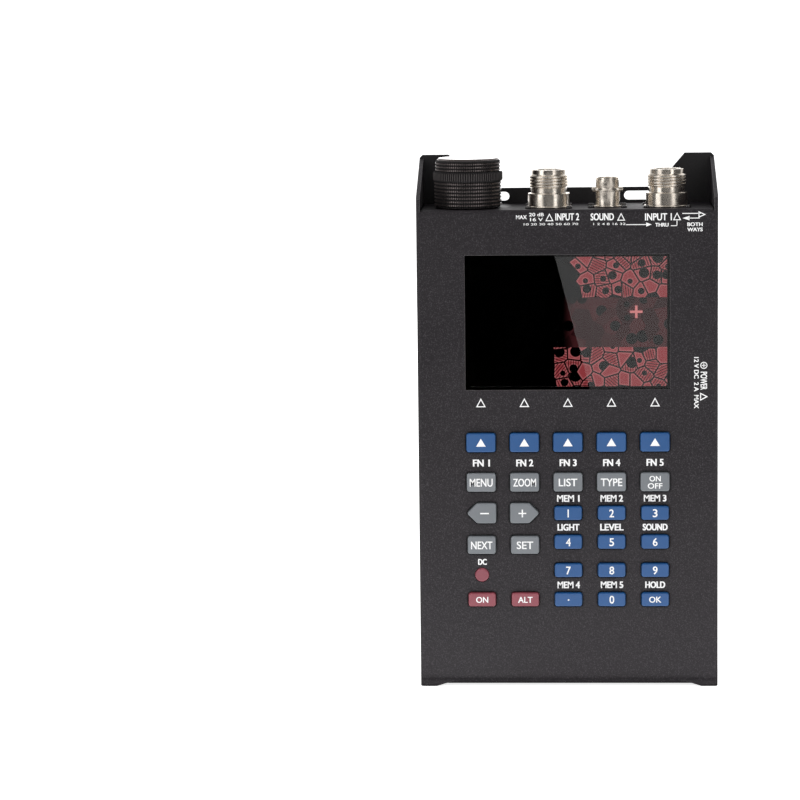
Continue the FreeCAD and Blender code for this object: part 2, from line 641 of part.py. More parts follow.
def make_front_shell():
    """Face, side walls, connector panel, bottom flange and return flanges from one sheet."""
    body = new_body("front_shell")
    cheek_top = "panel + cheek_rear"
    plan = level(body, "plan")
    rectangle(plan, "0", "(front + cover_face) / 2", "case_wide", "cover_face - front")
    block = pad(body, "block", plan, cheek_top)
    hollow = body.newObject("PartDesign::Thickness", "front_shell_hollow")
    open_faces = [
        f"Face{i + 1}" for i, face in enumerate(block.Shape.Faces)
        if near(face.CenterOfMass.y, "cover_face") or near(face.CenterOfMass.z, "0")
        or near(face.CenterOfMass.z, cheek_top)
    ]
    hollow.Base = (block, open_faces)
    hollow.setExpression("Value", bound("wall"))
    hollow.Reversed = True
    doc.recompute()

    slope = new_sketch(body, "slope", "YZ_Plane", "side")
    polygon(slope, [
        ("front", "panel + cheek_front"), ("cover_face", cheek_top),
        ("cover_face", f"{cheek_top} + wall"), ("front", f"{cheek_top} + wall"),
    ])
    pocket(body, "cheeks", slope, "case_wide")
    above = upright(body, "above", "front")
    polygon(above, [
        ("-side_in", "panel"), ("side_in", "panel"),
        ("side_in", f"{cheek_top} + wall"), ("-side_in", f"{cheek_top} + wall"),
    ])
    pocket(body, "face_top_edge", above, "bend + wall")
    below = upright(body, "below", "front")
    low_half, high_half = "(side - foot_wide + foot_slant)", "(side - foot_wide)"
    polygon(below, [
        (f"-{low_half}", "0"), (low_half, "0"), (high_half, "foot_lift"), (f"-{high_half}", "foot_lift"),
    ])
    pocket(body, "foot_notch", below, "bend + wall")

    flange = level(body, "flange", "panel")
    rectangle(flange, "0", "front + flange_deep / 2", "2 * side_in", "flange_deep")
    pad(body, "connector_panel", flange, "wall", backwards=True)
    floor = level(body, "floor", "foot_lift")
    rectangle(floor, "0", "(face_back + front + flange_deep) / 2", "2 * side_in", "flange_deep - wall")
    pad(body, "bottom_flange", floor, "wall")
    tabs = upright(body, "tabs", "cover_face")
    for sign in ("-", ""):
        rectangle(tabs, f"{sign}tab_x", "(tab_low + tab_high) / 2", "tab_wide", "tab_high - tab_low")
    returns = pad(body, "return_flanges", tabs, "wall")

    def side_folds(edge):
        corner = edge.Vertexes[0]
        return straight_along(Z_AXIS)(edge) and near(corner.Y, "front") and near(abs(corner.X), "side")

    def front_folds(edge):
        corner = edge.Vertexes[0]
        across = straight_along(X_AXIS)(edge) and near(corner.Y, "front")
        return across and (near(corner.Z, "panel") or near(corner.Z, "foot_lift"))

    folded = round_edges(body, "side_folds", returns, side_folds, "bend")
    round_edges(body, "front_folds", folded, front_folds, "bend")

    openings = upright(body, "openings", "front")
    for name, column, row in KEYS:
        key_outline(openings, name, row, *key_centre(column, row), "0")
    opened = pocket(body, "key_openings", openings, "wall")
    low, high = number("pad_low"), number("pad_high")

    def key_corners(edge):
        middle = edge.CenterOfMass
        through_face = straight_along(Y_AXIS)(edge) and near(middle.y, "(front + face_back) / 2")
        return through_face and low < middle.z < high

    round_edges(body, "key_corners", opened, key_corners, "key_round + key_gap")
    screen = upright(body, "screen", "front")
    rectangle(screen, "0", "screen_mid", "screen_wide", "screen_high")
    circle(screen, "-2 * column", "lamp_z", "lamp")
    pocket(body, "screen_and_lamp", screen, "wall")

    holes = level(body, "holes", "panel")
    for x, base in (("port_two_x", "port"), ("port_one_x", "port"), ("audio_x", "audio")):
        circle(holes, x, "axis_y", f"{base}_base + 2 * panel_play")
    circle(holes, "knob_x", "axis_y", "bush + 2 * panel_play")
    for x, y in connector_screws():
        circle(holes, x, y, "small_screw + 2 * panel_play")
    pocket(body, "panel_holes", holes, "wall")
    threads = upright(body, "threads", "cover_face - wall")
    for x, z in cover_screws():
        circle(threads, x, z, "screw + 2 * screw_play")
    pocket(body, "cover_threads", threads, "wall")
    inlet = new_sketch(body, "inlet", "YZ_Plane", "side")
    circle(inlet, "inlet_y", "inlet_z", "inlet_nose + 2 * panel_play")
    pocket(body, "inlet_hole", inlet, "wall")
    return body


def make_back_cover():
    """The flat back plate whose ears and slotted edge guard the connectors."""
    body = new_body("back_cover")
    outline = upright(body, "outline", "cover_face")
    ear, guard = "(panel + ear_rise)", "(panel + guard_rise)"
    half = [
        ("side", "0"), ("side", f"{ear} - ear_chamfer"), ("side - ear_chamfer", ear),
        ("side - ear_wide", ear), ("guard_half", guard),
    ]
    polygon(outline, half + [(f"-({x})", z) for x, z in reversed(half)])
    pad(body, "plate", outline, "cover_wall", backwards=True)
    slots = upright(body, "slots", "cover_face")
    middle = "panel + strap_rise"
    for sign in ("-", ""):
        x = f"{sign}(strap_in + strap_long / 2)"
        rectangle(slots, x, middle, "strap_long - strap_high", "strap_high")
    pocket(body, "strap_slots", slots, "cover_wall")
    ends = upright(body, "slot_ends", "cover_face")
    for sign in ("-", ""):
        for end in ("strap_in + strap_high / 2", "strap_in + strap_long - strap_high / 2"):
            circle(ends, f"{sign}({end})", middle, "strap_high")
    pocket(body, "strap_ends", ends, "cover_wall")
    holes = upright(body, "holes", "cover_face")
    for x, z in cover_screws():
        circle(holes, x, z, "screw + 2 * panel_play")
    pocket(body, "screw_holes", holes, "cover_wall")
    return body


def make_cover_screws():
    screws = []
    for i, (x, z) in enumerate(cover_screws()):
        head = rod(f"cover_screw_head_{i}", (x, "rear", z), "screw_head", "screw_proud", axis=Y_AXIS)
        shank_start = (x, "cover_face - wall", z)
        shank = rod(f"cover_screw_shank_{i}", shank_start, "screw", "wall + cover_wall", axis=Y_AXIS)
        screws.append(joined(f"cover_screw_{i}", [head, shank]))
    return together("cover_screws", screws)


# ------------------------------------------------------------------ screen


def make_display_window():
    """The clear window, stepped so that it fills the opening and laps behind the face."""
    body = new_body("display_window")
    pane = upright(body, "pane", "face_back")
    rectangle(pane, "0", "screen_mid", "screen_wide - 2 * window_gap", "screen_high - 2 * window_gap")
    pad(body, "front", pane, "wall - window_sunk")
    lap = upright(body, "lap", "face_back")
    rectangle(lap, "0", "screen_mid", "screen_wide + 2 * window_lap", "screen_high + 2 * window_lap")
    pad(body, "flange", lap, "window_flange", backwards=True)
    return body


def make_window_gasket():
    body = new_body("window_gasket")
    frame = upright(body, "frame", "window_back")
    rectangle(frame, "0", "screen_mid", "screen_wide + 2 * window_lap", "screen_high + 2 * window_lap")
    inner = [f"{size} + 2 * window_lap - 2 * gasket_wide" for size in ("screen_wide", "screen_high")]
    rectangle(frame, "0", "screen_mid", *inner)
    pad(body, "ring", frame, "gasket", backwards=True)
    return body


def make_lcd_panel():
    low = ("-lcd_wide / 2", "lcd_face", "screen_mid - lcd_high / 2")
    return box("lcd_panel", low, ("lcd_wide", "lcd_thick", "lcd_high"))


def lcd_post_places():
    heights = [f"screen_mid {sign} (lcd_high / 2 - lcd_post_down)" for sign in "-+"]
    return [(x, z) for x in ("-lcd_post_x", "lcd_post_x") for z in heights]


def make_lcd_bracket():
    """The sheet that presses the display module against the gasket."""
    body = new_body("lcd_bracket")
    outline = upright(body, "outline", "lcd_back")
    rim = "standoff + 2 * lcd_rim"
    size = (f"2 * lcd_post_x + {rim}", f"lcd_high - 2 * lcd_post_down + {rim}")
    rectangle(outline, "0", "screen_mid", *size)
    pad(body, "plate", outline, "lcd_plate", backwards=True)
    holes = upright(body, "holes", "lcd_back")
    for x, z in lcd_post_places():
        circle(holes, x, z, "small_hole")
    rectangle(holes, "0", "screen_mid", "2 * lcd_window", "lcd_window")
    pocket(body, "openings", holes, "lcd_plate")
    return body


# ------------------------------------------------------------------ boards


def main_post_places():
    heights = ("main_low + main_post_low", "main_high - main_post_top")
    return [(x, z) for x in ("-main_post_x", "main_post_x") for z in heights]


def board_posts():
    """Every standoff behind the face, as (x, z, what it carries)."""
    posts = [(x, z, "board_face") for x, z in keypad_post_places()]
    posts += [(x, z, "lcd_back") for x, z in lcd_post_places()]
    posts += [(x, z, "main_face") for x, z in main_post_places()]
    return posts


def sheet_behind(carried):
    """Thickness of the sheet that a screw holds against its standoff."""
    return "lcd_plate" if carried == "lcd_back" else "board"


def make_board_standoffs():
    posts = []
    for i, (x, z, carried) in enumerate(board_posts()):
        start, length = (x, "face_back", z), f"{carried} - face_back"
        outer = rod(f"standoff_outer_{i}", start, "standoff", length, axis=Y_AXIS)
        thread = rod(f"standoff_thread_{i}", start, "small_hole", length, axis=Y_AXIS)
        posts.append(without(f"standoff_{i}", outer, [thread]))
    return together("board_standoffs", posts)


def make_board_screws():
    screws = []
    for i, (x, z, carried) in enumerate(board_posts()):
        back = f"{carried} + {sheet_behind(carried)}"
        head = rod(f"board_screw_head_{i}", (x, back, z), "small_head", "small_proud", axis=Y_AXIS)
        start, length = (x, f"{carried} - small_screw", z), f"small_screw + {sheet_behind(carried)}"
        shank = rod(f"board_screw_shank_{i}", start, "small_screw", length, axis=Y_AXIS)
        screws.append(joined(f"board_screw_{i}", [head, shank]))
    return together("board_screws", screws)


def make_main_board():
    body = new_body("main_board")
    outline = upright(body, "outline", "main_face")
    rectangle(outline, "0", "(main_low + main_high) / 2", "2 * main_half", "main_high - main_low")
    pad(body, "plate", outline, "board", backwards=True)
    holes = upright(body, "holes", "main_face")
    for x, z in main_post_places():
        circle(holes, x, z, "small_hole")
    pocket(body, "screw_holes", holes, "board")
    return body


def make_rf_shield():
    """The screening can on the back of the main board, open towards the board."""
    left, bottom = "-shield_wide / 2", "shield_z - shield_high / 2"
    outer_size = ("shield_wide", "shield_deep", "shield_high")
    can = box("rf_shield_can", (left, "main_back", bottom), outer_size)
    inner_low = (f"{left} + shield_wall", "main_back", f"{bottom} + shield_wall")
    walls = "2 * shield_wall"
    inner_size = (f"shield_wide - {walls}", "shield_deep - shield_wall", f"shield_high - {walls}")
    return without("rf_shield", can, [box("rf_shield_inside", inner_low, inner_size)])


def make_buzzer():
    start = ("0", "main_face", "main_low + buzzer_rise")
    case = rod("buzzer_case", start, "buzzer", "buzzer_deep", axis=-Y_AXIS)
    hole_start = ("0", "main_face - buzzer_deep / 2", "main_low + buzzer_rise")
    hole = rod("buzzer_sound_hole", hole_start, "buzzer_hole", "buzzer_deep / 2", axis=-Y_AXIS)
    return without("buzzer", case, [hole])


def make_battery_pack():
    body = new_body("battery_pack")
    section = level(body, "section", "battery_low")
    rectangle(section, "0", "(pack_front + pack_back) / 2", "pack_wide", "pack_deep")
    block = pad(body, "wrap", section, "cell_long")
    round_edges(body, "sides", block, straight_along(Z_AXIS), "pack_deep / 2 - battery_sleeve")
    return body


def make_battery_bracket():
    """The strap that holds the pack against the back cover."""
    body = new_body("battery_bracket")
    band = level(body, "band", "battery_low + cell_long / 2 - strap_band / 2")
    inner_half = "pack_wide / 2 + strap_gap"
    outer_half = f"{inner_half} + strap_sheet"
    inner_front = "pack_front - strap_gap"
    outer_front = f"{inner_front} - strap_sheet"
    foot = f"{outer_half} + strap_foot"
    polygon(band, [
        (f"-({foot})", "cover_face"), (f"-({foot})", "cover_face - strap_sheet"),
        (f"-({outer_half})", "cover_face - strap_sheet"), (f"-({outer_half})", outer_front),
        (outer_half, outer_front), (outer_half, "cover_face - strap_sheet"),
        (foot, "cover_face - strap_sheet"), (foot, "cover_face"),
        (inner_half, "cover_face"), (inner_half, inner_front),
        (f"-({inner_half})", inner_front), (f"-({inner_half})", "cover_face"),
    ])
    pad(body, "strap", band, "strap_band")
    return body


# -------------------------------------------------------------- connectors


def flange_holes(body, half, depth):
    """Four screw holes at the corners of a connector's flange."""
    holes = level(body, "holes", "-wall")
    for x in (f"-{half}", half):
        for y in (f"-{half}", half):
            circle(holes, x, y, "small_hole")
    pocket(body, "screw_holes", holes, depth)


def make_port_shell(label, x):
    """A female test port: flange under the panel, base, thread and mouth above it."""
    body = new_body(label)
    plate = level(body, "plate", "-wall")
    rectangle(plate, "0", "0", "port_flange", "port_flange")
    pad(body, "flange", plate, "port_plate", backwards=True)
    flange_holes(body, "port_screw_half", "port_plate")

    bore, tail = "port_bore / 2", "port_tail / 2"
    low = "-(wall + port_plate + port_tail_long)"
    points = [
        (bore, low), (tail, low), (tail, "-wall"), ("port_base / 2", "-wall"), ("port_base / 2", "0"),
        ("port_lip / 2", "0"), ("port_lip / 2", "port_lip_high"), ("port_base / 2", "port_lip_high"),
        ("port_base / 2", "port_base_high"), ("port_neck / 2", "port_base_high"),
    ]
    start = "port_first - port_crest / 2"
    points += [("port_neck / 2", f"{start} - (port_thread - port_neck) / 4")]
    crests = round((number("port_high") - number("port_first")) / number("port_pitch")) - 1
    half_gap = "(port_pitch - port_crest) / 2"
    for i in range(crests):
        crest_low = f"{start} + {i} * port_pitch"
        points += [("port_thread / 2", crest_low), ("port_thread / 2", f"{crest_low} + port_crest")]
        if i < crests - 1:
            points += [("port_root / 2", f"{crest_low} + port_crest + {half_gap}")]
    end = f"{start} + {crests - 1} * port_pitch + port_crest + {half_gap}"
    points += [
        ("port_nose / 2", end), ("port_nose / 2", "port_high - port_mouth"),
        ("port_nose / 2 - port_mouth", "port_high"), ("port_bore / 2 + port_mouth", "port_high"),
        (bore, "port_high - port_mouth"),
    ]
    profile = upright(body, "profile")
    polygon(profile, points)
    revolve(body, "turned", profile)
    drill = level(body, "drill", "port_high")
    circle(drill, "0", "0", "port_bore")
    pocket(body, "bore", drill, "port_high + wall + port_plate")
    return place(body, x, "axis_y", "panel")


def make_port_insulators():
    """The white core that fills each test port below its mouth."""
    cores = []
    low = "panel_low - port_plate - port_tail_long"
    for name, x in (("two", "port_two_x"), ("one", "port_one_x")):
        length = "port_high - port_bore_deep + wall + port_plate + port_tail_long"
        core = rod(f"port_core_{name}", (x, "axis_y", low), "port_bore - 2 * core_play", length)
        hole = rod(f"port_core_hole_{name}", (x, "axis_y", low), "contact + 2 * core_play", length)
        cores.append(without(f"port_insulator_{name}", core, [hole]))
    return together("port_insulators", cores)


def contact_piece(name, x, diameter, socket, top, core_low):
    """A centre contact with its socket above and its solder pin on the main board below."""
    barrel = rod(f"{name}_barrel", (x, "axis_y", core_low), diameter, f"{top} - ({core_low})")
    pin_low = "main_high - contact_reach"
    pin = rod(f"{name}_pin", (x, "axis_y", pin_low), "contact_pin", f"{core_low} - ({pin_low})")
    depth = f"({top} - ({core_low})) / 2"
    hole = rod(f"{name}_socket", (x, "axis_y", f"{top} - {depth}"), socket, depth)
    return without(name, joined(f"{name}_solid", [barrel, pin]), [hole])


def make_port_contacts():
    top, low = "(port_top - contact_low)", "(panel_low - port_plate - port_tail_long)"
    contacts = [
        contact_piece(f"port_contact_{name}", x, "contact", "contact_bore", top, low)
        for name, x in (("two", "port_two_x"), ("one", "port_one_x"))
    ]
    return together("port_contacts", contacts)


def make_audio_shell():
    """The bayonet audio socket with its two lugs."""
    body = new_body("audio_socket_shell")
    plate = level(body, "plate", "-wall")
    rectangle(plate, "0", "0", "audio_flange", "audio_flange")
    pad(body, "flange", plate, "audio_plate", backwards=True)
    flange_holes(body, "audio_screw_half", "audio_plate")
    bore, barrel = "audio_bore / 2", "audio_barrel / 2"
    profile = upright(body, "profile")
    polygon(profile, [
        (bore, "-wall"), ("audio_base / 2", "-wall"), ("audio_base / 2", "0"),
        ("audio_lip / 2", "0"), ("audio_lip / 2", "port_lip_high"), ("audio_base / 2", "port_lip_high"),
        ("audio_base / 2", "audio_collar_low"), ("audio_collar / 2", "audio_collar_low"),
        ("audio_collar / 2", "audio_collar_high - audio_collar_slope"),
        ("audio_groove / 2", "audio_collar_high"), ("audio_groove / 2", "audio_groove_high"),
        (barrel, "audio_groove_high"), (barrel, "audio_high - core_play"),
        (f"{barrel} - port_mouth / 2", "audio_high"), (f"{bore} + port_mouth / 2", "audio_high"),
        (bore, "audio_high - core_play"),
    ])
    revolve(body, "turned", profile)
    lugs = new_sketch(body, "lugs", "YZ_Plane", "-lug_reach / 2")
    circle(lugs, "0", "lug_high", "lug")
    pad(body, "bayonet_lugs", lugs, "lug_reach")
    drill = level(body, "drill", "audio_high")
    circle(drill, "0", "0", "audio_bore")
    pocket(body, "bore", drill, "audio_high + wall + audio_plate")
    return place(body, "audio_x", "axis_y", "panel")


def make_audio_insulator():
    low = "(panel_low - audio_plate)"
    seat_top = "(audio_top - audio_bore_deep)"
    core_top = "audio_top - audio_core_low"
    start, seat_start = ("audio_x", "axis_y", low), ("audio_x", "axis_y", seat_top)
    seat = rod("audio_seat", start, "audio_bore - 2 * core_play", f"{seat_top} - {low}")
    core = rod("audio_core_rod", seat_start, "audio_core", f"{core_top} - {seat_top}")
    hole = rod("audio_core_hole", start, "audio_contact + 2 * core_play", f"{core_top} - {low}")
    return without("audio_socket_insulator", joined("audio_core_solid", [seat, core]), [hole])


def make_audio_contact():
    top, low = "(audio_top - audio_core_low)", "(panel_low - audio_plate)"
    sizes = ("audio_contact", "audio_contact_bore")
    return contact_piece("audio_socket_contact", "audio_x", *sizes, top, low)


def make_connector_screws():
    screws = []
    for i, (x, y) in enumerate(connector_screws()):
        head = rod(f"connector_screw_head_{i}", (x, y, "panel"), "port_screw_head", "port_screw_proud")
        plate = "audio_plate" if "audio_x" in x else "port_plate"
        length = f"wall + {plate}"
        shank = rod(f"connector_screw_shank_{i}", (x, y, f"panel - ({length})"), "small_screw", length)
        screws.append(joined(f"connector_screw_{i}", [head, shank]))
    return together("connector_screws", screws)


# ------------------------------------------------------------- tuning knob


def make_tuning_knob():
    """The grip knob, hollow underneath to clear the bushing and its nut."""
    body = new_body("tuning_knob")
    bore, hollow = "shaft / 2 + core_play", "knob_hollow / 2"
    outer, band = "knob / 2", "knob_band / 2"
    profile = upright(body, "profile")
    polygon(profile, [
        (hollow, "knob_gap"), (outer, "knob_gap"), (outer, "knob_band_low"),
        (band, "knob_band_low + knob_band_slope"), (band, "knob_band_high - knob_band_slope"),
        (outer, "knob_band_high"), (outer, "knob_top - knob_rim_drop"), ("knob_rim / 2", "knob_top"),
        ("0", "knob_top"), ("0", "knob_bore_high"), (bore, "knob_bore_high"),
        (bore, "knob_hollow_high"), (hollow, "knob_hollow_high"),
    ])
    revolve(body, "turned", profile)
    return place(body, "knob_x", "axis_y", "panel")


def make_encoder_shaft():
    low = "panel_low - shaft_low"
    return rod("encoder_shaft", ("knob_x", "axis_y", low), "shaft", f"panel + shaft_high - ({low})")


def make_encoder_body():
    """Housing under the panel with the bushing that passes through it."""
    low = "panel_low - encoder_deep"
    corner = ("knob_x - encoder_wide / 2", "axis_y - encoder_wide / 2", low)
    housing = box("encoder_housing", corner, ("encoder_wide", "encoder_wide", "encoder_deep"))
    bushing = rod("encoder_bushing", ("knob_x", "axis_y", "panel_low"), "bush", "wall + bush_high")
    well_low = "panel_low - shaft_low - shaft_play"
    well_long = f"panel + bush_high - ({well_low})"
    well = rod("encoder_well", ("knob_x", "axis_y", well_low), "shaft + 2 * shaft_play", well_long)
    return without("encoder_body", joined("encoder_solid", [housing, bushing]), [well])


def make_encoder_nut():
    nut = prism("encoder_nut_hexagon", ("knob_x", "axis_y", "panel"), "nut", "nut_high")
    hole = rod("encoder_nut_thread", ("knob_x", "axis_y", "panel"), "bush + 2 * screw_play", "nut_high")
    return without("encoder_nut", nut, [hole])


# ------------------------------------------------------------- power inlet


def make_power_inlet():
    """The coaxial inlet on the back of the main board, with its nose in the side wall."""
    housing_low = ("side_in - inlet_gap - inlet_long", "main_back", "inlet_z - inlet_wide / 2")
    housing = box("inlet_housing", housing_low, ("inlet_long", "inlet_tall", "inlet_wide"))
    nose_start = ("side_in - inlet_gap", "inlet_y", "inlet_z")
    nose = rod("inlet_nose_ring", nose_start, "inlet_nose", "wall", axis=X_AXIS)
    mouth = "(side - inlet_gap)"
    hollow_start = (f"{mouth} - inlet_deep", "inlet_y", "inlet_z")
    hollow = rod("inlet_mouth", hollow_start, "inlet_bore", "inlet_deep", axis=X_AXIS)
    shell = without("power_inlet_shell", joined("inlet_solid", [housing, nose]), [hollow])
    pin_start = (f"{mouth} - inlet_deep - inlet_pin", "inlet_y", "inlet_z")
    pin = rod("inlet_centre_pin", pin_start, "inlet_pin", "inlet_deep", axis=X_AXIS)
    return joined("power_inlet", [shell, pin])


# ---------------------------------------------------------------- assembly


def check(parts):
    """Stop if an object failed or a sub-part's shape is empty or broken."""
    for item in doc.Objects:
        if "Invalid" in item.State or "Error" in item.State:
            raise RuntimeError(f"{item.Label} failed: {item.State}")
    for part in parts:
        if part.Shape.isNull() or not part.Shape.isValid() or part.Shape.Volume <= 0:
            raise RuntimeError(f"{part.Label} has no valid solid")


def build():
    fill_sheet()
    parts = [
        make_front_shell(), make_back_cover(), make_cover_screws(),
        make_display_window(), make_window_gasket(), make_lcd_panel(), make_lcd_bracket(),
        make_keypad_mat(), make_keypad_board(), make_charge_lamp(), make_charge_led(),
        make_board_standoffs(), make_board_screws(), make_main_board(), make_rf_shield(),
        make_buzzer(), make_battery_pack(), make_battery_bracket(),
        make_port_shell("port_1_shell", "port_one_x"), make_port_shell("port_2_shell", "port_two_x"),
        make_port_insulators(), make_port_contacts(),
        make_audio_shell(), make_audio_insulator(), make_audio_contact(), make_connector_screws(),
        make_tuning_knob(), make_encoder_shaft(), make_encoder_body(), make_encoder_nut(),
        make_power_inlet(),
    ]
    parts += [make_key(*key) for key in KEYS]
    doc.recompute()
    check(parts)
    os.makedirs("parts", exist_ok=True)
    for part in parts:
        part.Shape.exportStep(f"parts/{part.Label}.step")
    print(f"{len(parts)} sub-parts")


build()
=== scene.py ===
"""Visual model of a handheld antenna analyzer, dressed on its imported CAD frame.

Sizes and places of pieces and prints are millimetres. What is handed to Blender, and the whole stage,
is in metres, in the CAD frame: +Z up, the face looks along -Y, the base is at z = 0.
"""

import json
import logging
import math
from dataclasses import dataclass, replace
from enum import Enum
from typing import Callable, Iterable, Optional, Sequence

import bpy
from mathutils import Matrix, Vector


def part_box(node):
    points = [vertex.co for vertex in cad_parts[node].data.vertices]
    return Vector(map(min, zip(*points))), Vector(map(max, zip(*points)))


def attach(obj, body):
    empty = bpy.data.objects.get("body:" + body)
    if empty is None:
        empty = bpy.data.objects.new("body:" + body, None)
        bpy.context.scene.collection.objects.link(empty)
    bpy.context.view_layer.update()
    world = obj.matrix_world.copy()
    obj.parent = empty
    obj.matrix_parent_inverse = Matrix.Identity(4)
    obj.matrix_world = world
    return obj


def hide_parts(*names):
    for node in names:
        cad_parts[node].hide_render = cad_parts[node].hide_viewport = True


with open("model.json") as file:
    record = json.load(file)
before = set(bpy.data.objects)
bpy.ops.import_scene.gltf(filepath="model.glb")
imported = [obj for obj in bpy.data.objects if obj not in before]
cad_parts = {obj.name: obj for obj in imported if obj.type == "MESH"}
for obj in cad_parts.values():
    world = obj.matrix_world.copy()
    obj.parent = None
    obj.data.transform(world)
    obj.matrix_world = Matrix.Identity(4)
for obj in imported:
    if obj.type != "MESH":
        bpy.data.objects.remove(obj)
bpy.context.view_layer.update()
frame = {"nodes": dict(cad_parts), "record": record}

LOG = logging.getLogger("analyzer")
CREST = "crest"
MM = 0.001
# Upper side of the connector panel, in metres.
PANEL = 0.1963
PICTURE_MM = (84.0, 56.0)
# Corners are rounded in so many steps, up to this share of a side; flatter ones than this stay.
CORNER_STEPS = 4
CORNER_SHARE = 0.45
FLAT_ANGLE = math.pi - 0.05
SLACK_MM = 1e-6
# How far the glyphs of a word are fattened, and in how many steps their curves are drawn.
GLYPH_OFFSET = 0.006
GLYPH_STEPS = 4

Pair = tuple[float, float]
Triple = tuple[float, float, float]
Form = tuple[list[Vector], list[tuple[int, ...]]]
Shape = Callable[[float, float, float], Pair]
Socket = bpy.types.NodeSocket
Sockets = dict[str, Socket]
Item = bpy.types.Object
Material = bpy.types.Material

BLACK: Triple = (0.0, 0.0, 0.0)
WHITE: Triple = (1.0, 1.0, 1.0)


class Plane(Enum):
    """The way a printed word runs."""

    FACE = "face"
    SIDEWAYS = "sideways"


class Sign(Enum):
    """A drawn sign on a key cap."""

    ARROW = "arrow"
    MINUS = "minus"
    PLUS = "plus"
    POINT = "point"


# ------------------------------------------------------------------ geometry


def mesh_object(name: str, points: Iterable, faces: Iterable, smooth: bool = True) -> Item:
    """Make a mesh object from points and faces.

    Args:
        name: name of the object and its mesh.
        points: places in metres.
        faces: point numbers of each face.
        smooth: whether the faces are shaded smooth.

    Returns:
        The new object, linked to the scene.
    """
    mesh = bpy.data.meshes.new(name)
    mesh.from_pydata([tuple(p) for p in points], [], [tuple(f) for f in faces])
    mesh.validate()
    mesh.update()
    if smooth:
        mesh.shade_smooth()
    item = bpy.data.objects.new(name, mesh)
    bpy.context.scene.collection.objects.link(item)
    return item


def sheet(name: str, corners: Sequence[Triple]) -> Item:
    """A flat sheet from its four corners, in metres."""
    return mesh_object(name, corners, [(0, 1, 2, 3)], smooth=False)


def rounded(points: Sequence[Pair], radius: float) -> list[Pair]:
    """Round the corners of a closed outline.

    Args:
        points: corners of the outline, as (r, z) pairs.
        radius: wanted radius; a short side takes a smaller one.

    Returns:
        The rounded outline.
    """
    result = []
    for i, corner in enumerate(points):
        here = Vector(corner)
        back, ahead = Vector(points[i - 1]) - here, Vector(points[(i + 1) % len(points)]) - here
        turn = back.angle(ahead) if back.length and ahead.length else math.pi
        if turn > FLAT_ANGLE or corner[0] <= 0.0:
            result.append(corner)
            continue
        reach = min(radius / math.tan(turn / 2), CORNER_SHARE * back.length, CORNER_SHARE * ahead.length)
        first, last = here + back.normalized() * reach, here + ahead.normalized() * reach
        for k in range(CORNER_STEPS + 1):
            t = k / CORNER_STEPS
            point = first * (1 - t) ** 2 + here * 2 * t * (1 - t) + last * t ** 2
            result.append((point.x, point.y))
    return result


def refined(points: Sequence[Pair], low: float, high: float, step: float) -> list[Pair]:
    """Add points to the sides of an outline that lie between two heights."""
    result = []
    for i, (r, z) in enumerate(points):
        next_r, next_z = points[(i + 1) % len(points)]
        inside = low - SLACK_MM <= min(z, next_z) and max(z, next_z) <= high + SLACK_MM
        pieces = max(1, int(abs(next_z - z) / step)) if inside else 1
        shares = [k / pieces for k in range(pieces)]
        result += [(r + (next_r - r) * t, z + (next_z - z) * t) for t in shares]
    return result


def evenly(count: int) -> list[float]:
    """Equal steps round a full turn, in radians."""
    return [math.tau * k / count for k in range(count)]


def turned(
    outline: Sequence[Pair], angles: Sequence[float], centre: Vector, shape: Optional[Shape] = None
) -> Form:
    """Turn a closed outline about an upright axis.

    Args:
        outline: (r, z) pairs in millimetres, anticlockwise in the r-z plane.
        angles: where the outline stands round the axis, in radians.
        centre: where r = 0, z = 0 of the outline lies, in metres.
        shape: gives what is added to r and z at (r, z, angle).

    Returns:
        Points in metres and faces.
    """
    points, faces = [], []
    count = len(outline)
    for angle in angles:
        cos, sin = math.cos(angle), math.sin(angle)
        for r, z in outline:
            more_r, more_z = shape(r, z, angle) if shape else (0.0, 0.0)
            reach = max(r + more_r, 0.0)
            points.append(centre + Vector((reach * cos, reach * sin, z + more_z)) * MM)
    for k in range(len(angles)):
        this, other = k * count, (k + 1) % len(angles) * count
        for i in range(count):
            j = (i + 1) % count
            if outline[i][0] > 0.0 or outline[j][0] > 0.0:
                faces.append((this + i, other + i, other + j, this + j))
    return points, faces


def joined(forms: Iterable[Form]) -> Form:
    """Several forms as one."""
    points, faces = [], []
    for more_points, more_faces in forms:
        start = len(points)
        points += more_points
        faces += [tuple(start + i for i in face) for face in more_faces]
    return points, faces


def moved(form: Form, move: Matrix) -> Form:
    """A form in another place."""
    points, faces = form
    return [move @ point for point in points], faces


def box_form(low: Vector, high: Vector) -> Form:
    """A box between two corners, in metres."""
    points = [
        Vector((x, y, z)) for x in (low.x, high.x) for y in (low.y, high.y) for z in (low.z, high.z)
    ]
    faces = [(0, 1, 3, 2), (4, 6, 7, 5), (0, 4, 5, 1), (2, 3, 7, 6), (0, 2, 6, 4), (1, 5, 7, 3)]
    return points, faces


@dataclass(frozen=True)
class Ribbing:
    """Grooves side by side: which share of each pitch is land, and which lies above the groove's floor."""

    land: float
    above: float

    def depth(self, pitches: float) -> float:
        """How deep the cut is, 0 on a land and 1 in a groove, at a distance counted in pitches."""
        phase = abs(pitches % 1.0 - 0.5) * 2
        return min(1.0, max(0.0, (phase - self.land) / (self.above - self.land)))

    def corners(self, count: float) -> list[float]:
        """Where the profile bends, counted in pitches."""
        bends = (0.5 - self.above / 2, 0.5 - self.land / 2, 0.5 + self.land / 2, 0.5 + self.above / 2)
        places = [k + bend for k in range(math.ceil(count)) for bend in bends]
        return [place for place in places if place < count]


# ------------------------------------------------------------- shader graphs


